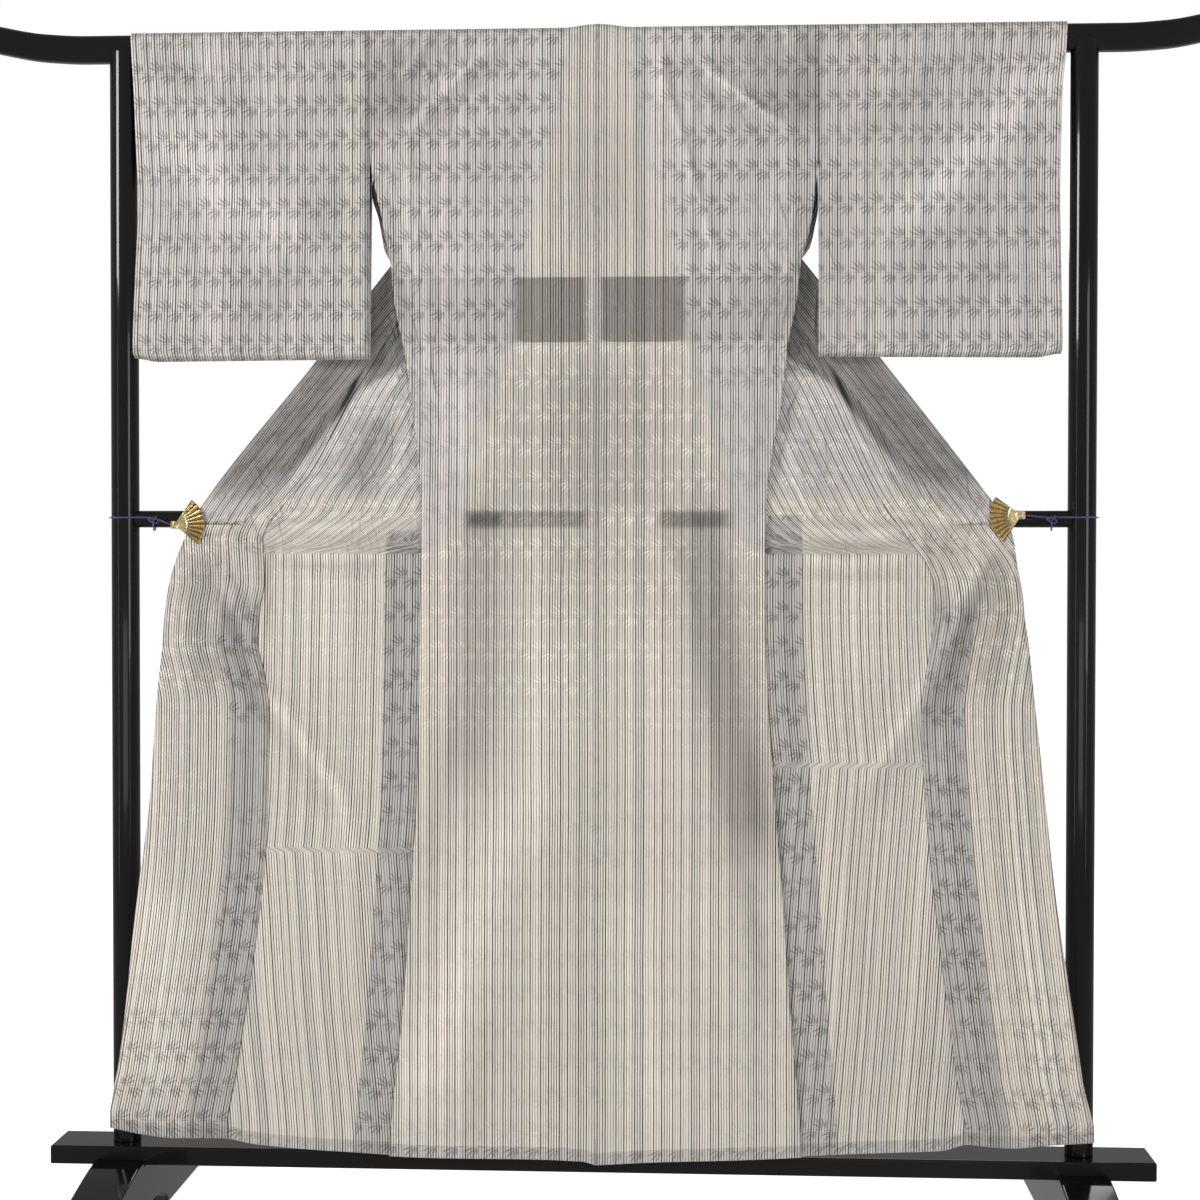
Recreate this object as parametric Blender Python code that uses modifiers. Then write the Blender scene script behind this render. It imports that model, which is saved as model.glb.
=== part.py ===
"""Silk kimono hanging on a lacquered kimono stand, the fronts drawn out and held by two fan clips.
Millimetres in the tables, metres in the mesh.  X to the right, Y away from the viewer of the back, Z up,
floor at Z = 0, centre back seam at X = 0.  Distances "out" are measured from the centre seam outwards."""
import bmesh
import bpy
import math

MM = 0.001
CLOTH = 1.2            # cloth wall
GAP = 0.3              # between neighbouring pieces
SIDES = {"left": -1.0, "right": 1.0}

# ---------------------------------------------------------------- stand sizes
RAIL_Z, RAIL_DEEP, RAIL_HIGH, RAIL_ROUND = 1749.0, 30.0, 40.0, 8.0
RAIL_RISE = [(0, 0), (760, 0), (822, 3.5), (883, 14), (925, 25), (955, 35)]       # out, rise of the end
POST_X, POST_R = 705.0, 20.5
BRACE_Z, BRACE_R = 1053.0, 12.5
BEAM_X, BEAM_DEEP, BEAM_LOW, BEAM_TOP = 810.0, 82.0, 97.0, 124.5
FOOT_WIDE = 74.0
FOOT_TOP = [(41.4, 105), (90, 98), (160, 83), (225, 66), (270, 55), (288, 42), (292, 24), (290, 0)]
FOOT_UNDER = [(95, 0), (80, 16), (55, 27), (0, 31)]

# ---------------------------------------------------------------- kimono sizes, by height above the floor
WRAP = RAIL_DEEP / 2 + 2.0                       # cloth middle in front of and behind the rail
TOP = RAIL_Z + RAIL_HIGH / 2 + 2.0               # cloth middle on top of the rail
SEAM_TOP = 1428.0                                # upper end of the side seam
SLEEVE_JOIN = 1575.0                             # lower end of the sleeve seam
CUFF_END = 1540.0                                # lower end of the cuff opening
POINT = 1312.0                                   # upper point of the okumi
COLLAR_END = 1046.0
COLLAR = 79.0                                    # collar band, measured level
NECK = 107.0                                     # half width of the back neck

# height, left out, right out
BACK_EDGE = [(1771, 334.5, 322.2), (1600, 334.5, 322.2), (1575, 333.5, 321.5), (1534, 326, 317), (1499, 318.5, 313),
             (1464, 312, 307), (1428, 305, 297), (1374, 300, 291), (1308, 286, 278), (1228, 273, 269), (1170, 266, 259),
             (1081, 258, 247), (934, 259, 245), (787, 261, 250), (640, 264, 260), (493, 273, 272), (347, 282, 282),
             (200, 296, 294), (110, 302, 299)]
FREE_EDGE = [(1762, 45, 38), (1287, 418, 414), (1069, 588, 580), (1045, 602, 597), (1022, 612, 604), (985, 626, 609),
             (948, 635, 616), (899, 641, 621), (874, 642.5, 625), (788, 651, 634), (637, 661, 650), (532, 674, 661),
             (457, 683, 671), (314, 697, 692), (215, 710, 706), (140, 717, 718)]
OKUMI_SEAM = [(1320, 316, 292), (1286, 333, 314), (1233, 366, 343), (1190, 388, 362), (1119, 427, 394),
              (1085, 456, 412), (1023, 496, 455), (989, 494, 480), (960, 493, 491), (923, 499, 494), (874, 502, 487),
              (822, 491, 478), (777, 484, 473), (638, 486, 480), (143, 544, 537)]
INNER_FOLD = [(1726, 39, 35), (1668, 49, 45), (1609, 62, 58), (1551, 74, 76), (1478, 89, 94), (1405, 103, 108),
              (1309, 125, 131), (1184, 162, 167), (1066, 194, 190), (1036, 214, 204), (1014, 232, 220),
              (1000, 262, 250), (985, 262, 250), (900, 262, 250)]
# out, height of the hem
HEM_LEFT = [(0, 111), (20, 116), (100, 118), (212, 117.5), (287, 119), (350, 122.5), (426, 126.5), (509, 134),
            (544, 141), (623, 140.5), (669, 145.5), (717, 155)]
HEM_RIGHT = [(0, 111), (87, 116.5), (197, 121), (297, 127), (370, 132), (444, 136), (503, 139.5), (537, 149),
             (569, 146), (601, 144.5), (644, 149), (718, 155)]

# height, depth of: back at centre, back at its edge, front at its edge, first layer, free edge, turn of the fold
DEPTH = [(1771, -17, -17, 17, 17, 22, 3.0),
         (1740, -17, -17, 17, 17, 22.5, 3.4),
         (1690, -17.3, -17.1, 13.5, 16.3, 21.5, 4.6),
         (1640, -17.6, -17.3, 11, 15, 19, 5.0),
         (1575, -18, -17.5, 8, 13, 15, 4.2),
         (1500, -18.5, -15, 1, 9, 11, 4.0),
         (1464, -18.5, -12.5, -4, 7, 9, 4.0),
         (1428, -18.5, -10.5, -8.5, 5, 7.5, 4.0),
         (1350, -18.2, -13, -11, 0, 3.5, 4.0),
         (1287, -18, -15.5, -13.5, -4, 0, 3.8),
         (1150, -17, -20, -18, -11.5, -11, 3.0),
         (1080, -15.6, -23.4, -21.2, -19.2, -18, 2.2),
         (1053, -14.9, -24.2, -21.8, -20.6, -19.4, 2.2),
         (1020, -15.6, -24.6, -22.0, -20.8, -20, 2.2),
         (960, -18, -25.4, -22.6, -22.4, -22, 2.2),
         (900, -20.5, -26.2, -23.4, -23.4, -24.5, 1.9),
         (600, -31.5, -34.6, -31.7, -31.7, -34, 1.9),
         (300, -42, -43.6, -40.7, -40.7, -44, 1.9),
         (100, -50, -51, -48.1, -48.1, -51, 1.9)]
BACK_MID, BACK_SIDE, FRONT_SIDE, LAYER_ONE, FREE, TURN = 1, 2, 3, 4, 5, 6

# soft folds: (out, height) start, (out, height) end, half width, height towards the viewer; out is signed
FOLDS = [((-175, 1020), (-235, 480), 34, -4.0), ((95, 1030), (230, 420), 34, -4.0),
         ((-60, 1000), (-70, 560), 70, 5.0), ((-330, 990), (-410, 560), 45, 4.0),
         ((-575, 1005), (-420, 720), 26, 7.0), ((575, 1005), (430, 700), 26, 7.0),
         ((-600, 1010), (-560, 700), 24, 4.0), ((600, 1010), (585, 700), 24, 4.0),
         ((-140, 1735), (-290, 1610), 22, 4.0), ((140, 1725), (285, 1590), 22, 4.0),
         ((95, 1735), (100, 1600), 16, 3.5), ((-280, 1660), (-250, 1330), 20, 3.0), ((280, 1650), (235, 1330), 20, 3.0)]


def table(rows, column, key):
    """Value of a column at a key, by a smooth curve that keeps the run of the rows."""
    rows = sorted(rows)
    if key <= rows[0][0]:
        return rows[0][column]
    if key >= rows[-1][0]:
        return rows[-1][column]
    i = max(k for k in range(len(rows) - 1) if rows[k][0] <= key)

    def slope(k):
        if k <= 0 or k >= len(rows) - 1:
            return 0.0 if k < 0 else (rows[min(k + 1, len(rows) - 1)][column] - rows[max(k - 1, 0)][column]) / (
                rows[min(k + 1, len(rows) - 1)][0] - rows[max(k - 1, 0)][0])
        a = (rows[k][column] - rows[k - 1][column]) / (rows[k][0] - rows[k - 1][0])
        b = (rows[k + 1][column] - rows[k][column]) / (rows[k + 1][0] - rows[k][0])
        return 0.0 if a * b <= 0 else 2 * a * b / (a + b)

    h = rows[i + 1][0] - rows[i][0]
    t = (key - rows[i][0]) / h
    a, b = rows[i][column], rows[i + 1][column]
    return (a * (1 + 2 * t) * (1 - t) ** 2 + b * t * t * (3 - 2 * t)
            + h * (slope(i) * t * (1 - t) ** 2 - slope(i + 1) * t * t * (1 - t)))


def ease(t):
    t = min(1.0, max(0.0, t))
    return t * t * (3 - 2 * t)


def column_of(side):
    return 1 if side == "left" else 2


def fold_height(x, z):
    """How far the soft folds bring the cloth towards the viewer at a signed out and a height."""
    total = 0.0
    for (x0, z0), (x1, z1), wide, high in FOLDS:
        dx, dz = x1 - x0, z1 - z0
        t = ((x - x0) * dx + (z - z0) * dz) / (dx * dx + dz * dz)
        reach = ease((t + 0.12) / 0.3) * ease((1.15 - t) / 0.4)
        if reach > 0:
            away = math.hypot(x - x0 - t * dx, z - z0 - t * dz) / wide
            total += high * reach * math.exp(-away * away * 1.4)
    return total


def hump(x):
    """The collar under the cloth lifts the middle of the back over the rail."""
    return 5.0 * ease(1 - abs(x) / 52)


# ---------------------------------------------------------------- mesh helpers
KIMONO = bpy.data.collections.new("silk kimono on a stand")


def clear_scene():
    for thing in list(bpy.data.objects):
        bpy.data.objects.remove(thing, do_unlink=True)
    bpy.context.scene.collection.children.link(KIMONO)


def material(name, colour, roughness, metallic=0.0):
    made = bpy.data.materials.new(name)
    made.use_nodes = True
    shader = made.node_tree.nodes["Principled BSDF"]
    shader.inputs["Base Color"].default_value = (*colour, 1.0)
    shader.inputs["Roughness"].default_value = roughness
    shader.inputs["Metallic"].default_value = metallic
    return made


def piece(name, points, faces, paint, smooth=True):
    mesh = bpy.data.meshes.new(name)
    mesh.from_pydata([(x * MM, y * MM, z * MM) for x, y, z in points], [], faces)
    mesh.validate()
    tidy = bmesh.new()
    tidy.from_mesh(mesh)
    bmesh.ops.remove_doubles(tidy, verts=tidy.verts, dist=0.00002)
    bmesh.ops.recalc_face_normals(tidy, faces=tidy.faces)
    tidy.to_mesh(mesh)
    tidy.free()
    mesh.materials.append(paint)
    for face in mesh.polygons:
        face.use_smooth = smooth
    made = bpy.data.objects.new(name, mesh)
    KIMONO.objects.link(made)
    return made


def cloth(name, grid, paint, wall=CLOTH, ring=False, leave=None, merge=None):
    """A cloth wall from rows of middle points; leave(row, column) skips a cell, merge joins two points."""
    rows, cols = len(grid), len(grid[0])
    points = [p for row in grid for p in row]
    alias = {}
    for a, b in (merge or []):
        alias[a[0] * cols + a[1]] = b[0] * cols + b[1]
    faces = []
    for r in range(rows - 1):
        for c in range(cols if ring else cols - 1):
            if leave and leave(r, c):
                continue
            d = (c + 1) % cols
            corners = [r * cols + c, r * cols + d, (r + 1) * cols + d, (r + 1) * cols + c]
            corners = [alias.get(k, k) for k in corners]
            keep = [k for i, k in enumerate(corners) if k != corners[i - 1]]
            if len(keep) >= 3:
                faces.append(keep)
    used = sorted({k for face in faces for k in face})
    index = {k: i for i, k in enumerate(used)}
    made = piece(name, [points[k] for k in used], [[index[k] for k in face] for face in faces], paint)
    shell = made.modifiers.new("wall", "SOLIDIFY")
    shell.thickness = wall * MM
    shell.offset = 0.0
    shell.use_even_offset = False
    shell.use_rim = True
    return made


def loft(name, rings, paint, smooth=True):
    """A solid through rings of equal point count, with flat ends."""
    n = len(rings[0])
    points = [p for ring in rings for p in ring]
    faces = [[r * n + c, r * n + (c + 1) % n, (r + 1) * n + (c + 1) % n, (r + 1) * n + c]
             for r in range(len(rings) - 1) for c in range(n)]
    faces += [list(range(n))[::-1], [len(points) - n + c for c in range(n)]]
    return piece(name, points, faces, paint, smooth)


# ---------------------------------------------------------------- the fronts: one path across them at each height
def front_path(side, z):
    """Points (out, depth) from the side seam or armhole edge to the free edge, with marks along them."""
    col = column_of(side)
    edge = table(BACK_EDGE, col, z)
    free = table(FREE_EDGE, col, z)
    fold = min(table(INNER_FOLD, col, z), edge)
    if z > 1726:
        fold = min(free, 45.0)
    one, two, turn = (table(DEPTH, k, z) for k in (LAYER_ONE, FREE, TURN))
    start = table(DEPTH, FRONT_SIDE, z)
    inward = edge - fold
    points = []
    if inward > 6:
        near = min(70.0, 0.7 * inward)
        for k in range(17):
            a = (inward - turn) * k / 16
            points.append((edge - a, start + (one - start) * ease(a / near)))
        for k in range(1, 6):
            angle = math.pi * k / 5
            points.append((fold + turn - turn * math.sin(angle), one + turn - turn * math.cos(angle)))
        depth = one + 2 * turn
    else:
        points.append((edge - 2.0 + 2.0 * inward / 6, start))
        points.append((edge + 2.0, start))
        depth = start
    x0 = points[-1][0]
    steps = 24
    for k in range(1, steps + 1):
        t = k / steps
        x = x0 + (free - x0) * t
        rest = depth + (two - depth) * (t if inward > 6 else ease(t * 3))
        points.append((x, rest))
    along = [0.0]
    for (xa, ya), (xb, yb) in zip(points, points[1:]):
        along.append(along[-1] + math.hypot(xb - xa, yb - ya))
    tip = inward - turn + math.pi * turn / 2 if inward > 6 else 0.0
    return points, along, tip


def place(path, where):
    points, along = path[0], path[1]
    where = min(max(where, 0.0), along[-1])
    for k in range(len(along) - 1):
        if where <= along[k + 1] or k == len(along) - 2:
            t = (where - along[k]) / max(1e-9, along[k + 1] - along[k])
            (xa, ya), (xb, yb) = points[k], points[k + 1]
            return xa + (xb - xa) * t, ya + (yb - ya) * t


def seam_gap(z):
    """Half the gap at the collar seam, wider where the seam runs round the turn of the fold."""
    return GAP / 2 + 2.6 * ease((z - 1575) / 30) * ease((1735 - z) / 25)


def marks(side, z, path):
    """Path lengths of the okumi seam, the collar seam and the free edge."""
    col = column_of(side)
    end = path[1][-1]
    free = table(FREE_EDGE, col, z)
    collar = end - COLLAR * (1.0 if z < 1690 else 0.80 + 0.2 * ease((1771 - z) / 81))
    if z > POINT:
        return collar, collar, end
    okumi = end - (free - table(OKUMI_SEAM, col, z))
    return min(okumi, collar - 2.5), collar, end


def front_row(side, z, segments=(3, 2, 4)):
    path = front_path(side, z)
    last = marks(side, z, path)[0] - seam_gap(z)
    tip = path[2]
    turn = table(DEPTH, TURN, z)
    first, bend, second = segments
    low = 45 + 70 * ease((980 - z) / 330)
    high = last - 12 - 80 * ease((z - 1640) / 60)
    middle = min(max(tip, low), high)
    half = min(math.pi * turn / 2, 10.0) if low <= tip <= high else 10.0
    wheres = [(middle - half) * k / first for k in range(first)]
    wheres += [middle - half + 2 * half * k / bend for k in range(bend)]
    wheres += [middle + half + (last - middle - half) * k / second for k in range(second + 1)]
    return [place(path, w) for w in wheres]


def hem_at(side, out):
    return table(HEM_LEFT if side == "left" else HEM_RIGHT, 1, out)


def lower(side, out, z, last):
    """The last row of a piece follows the hem."""
    return hem_at(side, out) if last else z


BACK_ROWS = [0, 200, 320, 450, 590, 720, 830, 910, 970, 1020, 1060, 1120, 1190, 1260, 1340,
             1428, 1500, 1575, 1660, 1735]
FRONT_ROWS = [1735, 1690, 1675, 1660, 1650, 1640, 1620, 1575, 1500, 1428, 1370, 1312, 1250, 1190, 1130, 1090, 1060, 1036, 1014,
              996, 978, 940, 880, 790, 680, 560, 440, 310, 200, 0]
WRAP_ROWS = [(-WRAP, TOP - 10), (-WRAP + 3.2, TOP - 3), (-WRAP + 9, TOP), (0, TOP), (WRAP - 9, TOP),
             (WRAP - 3.2, TOP - 3), (WRAP, TOP - 10)]
NECK_WRAP = 6                                     # the back neck ends on this row of the wrap
FRONT_CELLS, NECK_CELLS = 9, 3


def body(side, paint):
    """One length of cloth: back, over the rail, and front down to its hem; the neck is cut out of it."""
    sign, col = SIDES[side], column_of(side)
    grid = []
    for z in BACK_ROWS:
        edge = table(BACK_EDGE, col, z)
        row = []
        for k in range(FRONT_CELLS + NECK_CELLS + 1):
            if k <= FRONT_CELLS:
                out = edge + (NECK - edge) * k / FRONT_CELLS
            else:
                out = NECK + (GAP / 2 - NECK) * (k - FRONT_CELLS) / NECK_CELLS
            high = lower(side, out, z, z == 0)
            mid, rim = table(DEPTH, BACK_MID, high), table(DEPTH, BACK_SIDE, high)
            apart = min(table(INNER_FOLD, col, high), edge) if high > 990 else edge
            start = edge + (apart - edge) * ease((1250 - high) / 80)
            depth = rim + (mid - rim) * ease((start - out) / 95)
            depth -= fold_height(sign * out, high) * ease((edge - out) / 30) * ease((1745 - high) / 40)
            depth = min(depth, -14.4) if abs(high - BRACE_Z) < 45 else depth
            row.append((sign * out, depth, high + (hump(out) if high > 1740 else 0)))
        grid.append(row)
    for y, z in WRAP_ROWS:
        edge = table(BACK_EDGE, col, z)
        row = []
        for k in range(FRONT_CELLS + NECK_CELLS + 1):
            out = (edge + (NECK - edge) * k / FRONT_CELLS if k <= FRONT_CELLS
                   else NECK + (GAP / 2 - NECK) * (k - FRONT_CELLS) / NECK_CELLS)
            row.append((sign * out, y, z + hump(out)))
        grid.append(row)
    back_rows = len(BACK_ROWS) + NECK_WRAP
    for z in FRONT_ROWS:
        row = []
        for out, depth in front_row(side, max(z, 130)):
            high = lower(side, out, z, z == 0)
            outside = ease((out - table(BACK_EDGE, col, max(z, 130)) - 8) / 30)
            depth -= fold_height(sign * out, high) * outside
            row.append((sign * out, depth, high))
        row += [row[-1]] * NECK_CELLS
        grid.append(row)
    return cloth(f"body_{side}", grid, paint, leave=lambda r, c: c >= FRONT_CELLS and r >= back_rows)


def okumi(side, paint):
    """The narrow front length from the front seam to the free edge, pointed at its upper end."""
    sign, col = SIDES[side], column_of(side)
    grid, steps = [], 0
    for z in [q for q in FRONT_ROWS if 1040 < q < POINT] + [COLLAR_END - 2.5] + [q for q in FRONT_ROWS if q < 1040]:
        path = front_path(side, max(z, 140))
        seam, collar, end = marks(side, max(z, 140), path)
        if z > 1040:
            steps += 1
        else:
            collar = end - 79 + 10 * ease((1000 - z) / 400)
        row = []
        for k in range(6):
            where = (seam + GAP / 2 + (collar - GAP - seam) * k / 3 if k <= 3
                     else collar - GAP / 2 + (end - collar + GAP / 2) * (k - 3) / 2)
            out, depth = place(path, where)
            high = lower(side, out, z, z == 0)
            depth -= fold_height(sign * out, high) * ease((table(FREE_EDGE, col, high) - out) / 40 + 0.4)
            row.append((sign * out, depth, high))
        grid.append(row)
    return cloth(f"okumi_{side}", grid, paint, leave=lambda r, c: c >= 3 and r < steps)


def collar_rows(side):
    """Rows across the collar from its lower end up to the neck, then round half of the neck."""
    sign = SIDES[side]
    rows = []
    for z in [COLLAR_END] + [q for q in FRONT_ROWS[::-1] if 1046 < q < 1700]:
        path = front_path(side, z)
        seam, end = marks(side, z, path)[1] + seam_gap(z), path[1][-1]
        half = math.pi * table(DEPTH, TURN, z) / 2
        bend_in, bend_out = max(path[2] - half, seam + 6), max(path[2] + half, seam + 14)
        flat = ease((seam - path[2] - half) / 40)
        bend_in += (seam + (end - seam) * 0.5 - bend_in) * flat
        bend_out += (seam + (end - seam) * 0.8 - bend_out) * flat
        wheres = [seam, (seam * 2 + bend_in) / 3, (seam + 2 * bend_in) / 3, bend_in, (bend_in + bend_out) / 2,
                  bend_out, end]
        rows.append([(sign * out, depth, z) for out, depth in (place(path, w) for w in wheres)])
    path = front_path(side, 1735)
    join = place(path, marks(side, 1735, path)[1] + GAP)[0]
    half_way = join + (NECK - join) * 0.55
    top = table(FREE_EDGE, column_of(side), 1729)
    for corner in (
            [(join, 17.4, 1735), (join * 0.7 + 13, 17.6, 1729), (join * 0.3 + 31, 17.8, 1722), (45, 18, 1714.5),
             (41.5, 21.3, 1711.5), (45, 24.6, 1714.5), (top, 24, 1729)],
            [(half_way - 1.5, 17.4, 1748.5), (84, 17.6, 1742), (65, 17.8, 1733), (44, 18, 1723), (40.5, 21.2, 1720),
             (44, 24.4, 1723), (top - 13, 24, 1745)],
            [(NECK - 3, 17.4, 1758.4), (93, 17.6, 1752), (70, 17.8, 1742), (38, 18, 1731), (35, 21, 1728),
             (38, 24, 1731), (top - 27, 24, 1756)],
            [(66, 17.4, 1758.4), (56, 17.6, 1750), (42, 17.8, 1741), (27, 18, 1735), (25, 21, 1731),
             (27, 24, 1735), (27, 24, 1762)],
            [(32, 17.4, 1758.4 + hump(32)), (27, 17.6, 1751), (20, 17.8, 1743), (14, 18, 1736), (13, 21, 1731),
             (14, 24, 1736), (14, 24, 1762)]):
        rows.append([(sign * out, depth, z) for out, depth, z in corner])
    return rows


def collar(paint):
    """One long band from clip to clip round the neck."""
    middle = [[(0, 17.4, 1763.4), (0, 17.6, 1753), (0, 17.8, 1744), (0, 18, 1736), (0, 21, 1731), (0, 24, 1736),
               (0, 24, 1762)]]
    return cloth("collar", collar_rows("left") + middle + collar_rows("right")[::-1], paint)


# ---------------------------------------------------------------- sleeves
# height, left out, right out of the outer edge; height, back wall depth, rear wall depth, closed edge depth
SLEEVE_EDGE = [(1771, 690.5, 678), (1740, 689, 677), (1670, 685, 671), (1600, 682.5, 669.5), (1523, 681, 669),
               (1405, 685.5, 671), (1302, 689, 673), (1287, 685, 669)]
SLEEVE_WALLS = [(1771, -17, 17, 0), (1740, -17, 17, 0), (1668, -17.6, 12.5, -6), (1575, -18.4, 8, -10),
                (1500, -18.8, 3.5, -12.5), (1400, -19.4, -4, -14.5), (1300, -19.8, -10, -15.8), (1287, -19.8, -11, -16)]
SLEEVE_INNER = {"left": 334.8, "right": 322.5}
SLEEVE_ROWS = [1298, 1345, 1410, 1475, 1540, 1566, 1660, 1735]
SLEEVE_ACROSS = [0.0, 0.2, 0.42, 0.65, 0.86, 0.99, 1.0]
SLEEVE_LOW = {"left": (1287.6, 1285.0), "right": (1288.6, 1286.0)}


def sleeve(side, paint):
    """A folded bag over the rail: cuff open above, sewn shut below it and at the bottom, open next to the body."""
    sign, col = SIDES[side], column_of(side)
    inner = SLEEVE_INNER[side]
    levels = SLEEVE_ROWS
    grid = []
    for f in SLEEVE_ACROSS:
        ring = []

        def point(z, depth):
            outer = table(SLEEVE_EDGE, col, z)
            return (sign * (inner + (outer - inner) * f), depth, z)

        def walls(z):
            """Depths of the two walls; towards the sewn edge they draw together and meet in a rolled fold."""
            back, rear, shut = (table(SLEEVE_WALLS, k, z) for k in (1, 2, 3))
            roll = 2.4 if z < CUFF_END + 1 else 2.4 + (back - shut + 2.4) * -ease((z - CUFF_END + 18) / 110)
            near = ease((f - 0.55) / 0.44)
            back += (min(shut - roll, shut - 2.4) - back) * near
            rear += (shut + roll - rear) * near * ease((CUFF_END + 150 - z) / 150)
            if f > 0.995 and z <= CUFF_END:
                return shut, shut
            return back, rear

        bottom = SLEEVE_LOW[side][0] + (SLEEVE_LOW[side][1] - SLEEVE_LOW[side][0]) * f + 5.5 * ease((f - 0.9) / 0.1)
        for z in levels:
            ring.append(point(z, walls(z)[0]))
        ring += [point(z, y) for y, z in WRAP_ROWS]
        for z in reversed(levels):
            ring.append(point(z, walls(z)[1]))
        a, b = walls(1292)
        ring.append(point(bottom, (a + b) / 2))
        grid.append(ring)
    last, n = len(grid) - 1, len(grid[0])
    merge = []
    for i, z in enumerate(levels):
        if z <= CUFF_END:
            merge.append(((last, n - 2 - i), (last, i)))
    return cloth(f"sleeve_{side}", grid, paint, ring=True, merge=merge)


# ---------------------------------------------------------------- stand
def section(deep, high, rounding, steps=2):
    ring = []
    for sy, sz, start in ((1, 1, 0), (-1, 1, 90), (-1, -1, 180), (1, -1, 270)):
        for k in range(steps + 1):
            angle = math.radians(start + 90 * k / steps)
            ring.append((sy * (deep / 2 - rounding) + rounding * math.cos(angle),
                         sz * (high / 2 - rounding) + rounding * math.sin(angle)))
    return ring


def top_rail(paint):
    outs = [0, 380, 640, 760, 790, 822, 853, 883, 905, 925, 943]
    stations = [-o for o in outs[:0:-1]] + outs
    rings = []
    for x in [-955, -952] + stations + [952, 955]:
        rise = table(RAIL_RISE, 1, abs(x))
        small = 3.0 if abs(x) == 955 else 0.0
        rings.append([(x, y, RAIL_Z + rise + z) for y, z in
                      section(RAIL_DEEP - 2 * small, RAIL_HIGH - 2 * small, RAIL_ROUND - small * 0.5)])
    return loft("top_rail", rings, paint)


def disc(x, y, z, radius, count=20):
    return [(x + radius * math.cos(math.tau * k / count), y + radius * math.sin(math.tau * k / count), z)
            for k in range(count)]


def post(side, paint):
    """A round post standing on the beam; its forked top holds the rail."""
    x = SIDES[side] * POST_X
    head = RAIL_Z - 2
    made = loft(f"post_{side}", [disc(x, 0, z, r) for z, r in ((BEAM_TOP + GAP, POST_R), (head - 4, POST_R),
                                                             (head - 1, POST_R - 1.2), (head, POST_R - 3))], paint)
    fork = loft(f"cut_{side}", [[(x + s, y, z) for y, z in section(RAIL_DEEP + 2 * GAP, RAIL_HIGH + 2 * GAP + 60,
                                                                   RAIL_ROUND)] for s in (-40, 40)], paint)
    for v in fork.data.vertices:
        v.co.z += (RAIL_Z + 30) * MM
    cut(made, fork)
    return made


CUTTERS = bpy.data.collections.new("cutters")


def cut(made, cutter):
    KIMONO.objects.unlink(cutter)
    CUTTERS.objects.link(cutter)
    cutter.hide_render = True
    cutter.display_type = "WIRE"
    take = made.modifiers.new("cut", "BOOLEAN")
    take.operation, take.solver, take.object = "DIFFERENCE", "EXACT", cutter


def brace(paint):
    """The middle rail between the posts, its ends scooped to their roundness."""
    made = loft("middle_rail", [[(x, BRACE_R * math.cos(math.tau * k / 20), BRACE_Z + BRACE_R * math.sin(math.tau * k / 20))
                                 for k in range(20)] for x in (-POST_X + 4, -300, 300, POST_X - 4)], paint)
    for side, sign in SIDES.items():
        x = sign * POST_X
        cut(made, loft(f"scoop_{side}", [disc(x, 0, z, POST_R + GAP + 0.3) for z in (BRACE_Z - 60, BRACE_Z + 60)], paint))
    return made


def beam(paint):
    rings = []
    for x, small in ((-BEAM_X, 5), (-BEAM_X + 2, 2), (-BEAM_X + 6, 0), (BEAM_X - 6, 0), (BEAM_X - 2, 2), (BEAM_X, 5)):
        rings.append([(x, y, (BEAM_LOW + BEAM_TOP) / 2 + z) for y, z in
                      section(BEAM_DEEP - 2 * small, BEAM_TOP - BEAM_LOW - small, 3.0, 2)])
    return loft("base_beam", rings, paint, smooth=False)


def foot(side, paint):
    """A low foot lying front to back under the beam, arched between its two flat pads."""
    x = SIDES[side] * POST_X
    outline = [(0, BEAM_LOW - GAP), (41.4, BEAM_LOW - GAP)] + FOOT_TOP + FOOT_UNDER
    half = [(y, z) for y, z in outline]
    profile = half[:-1] + [half[-1]] + [(-y, z) for y, z in reversed(half[1:-1])]
    wide, small = FOOT_WIDE / 2, 5.0
    rings = []
    for s, inset in ((-wide, small), (-wide + 1.5, 1.5), (-wide + small, 0), (wide - small, 0), (wide - 1.5, 1.5), (wide, small)):
        ring = []
        for y, z in profile:
            top = z > 20 and not (abs(y) < 82 and z < 32)
            ring.append((x + s, y * (1 - inset / 292 if abs(y) > 200 else 1), z - (inset if top else 0)))
        rings.append(ring)
    return loft(f"foot_{side}", rings, paint, smooth=False)


# ---------------------------------------------------------------- clips and cords
CLIP_AT = {"left": (625.0, 1044.0), "right": (614.0, 1058.0)}
FAN_RIBS, FAN_REACH, FAN_SPREAD = 9, 45.0, (-42.0, 52.0)
FAN_TURN = {"left": 3.0, "right": -16.0}


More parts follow.
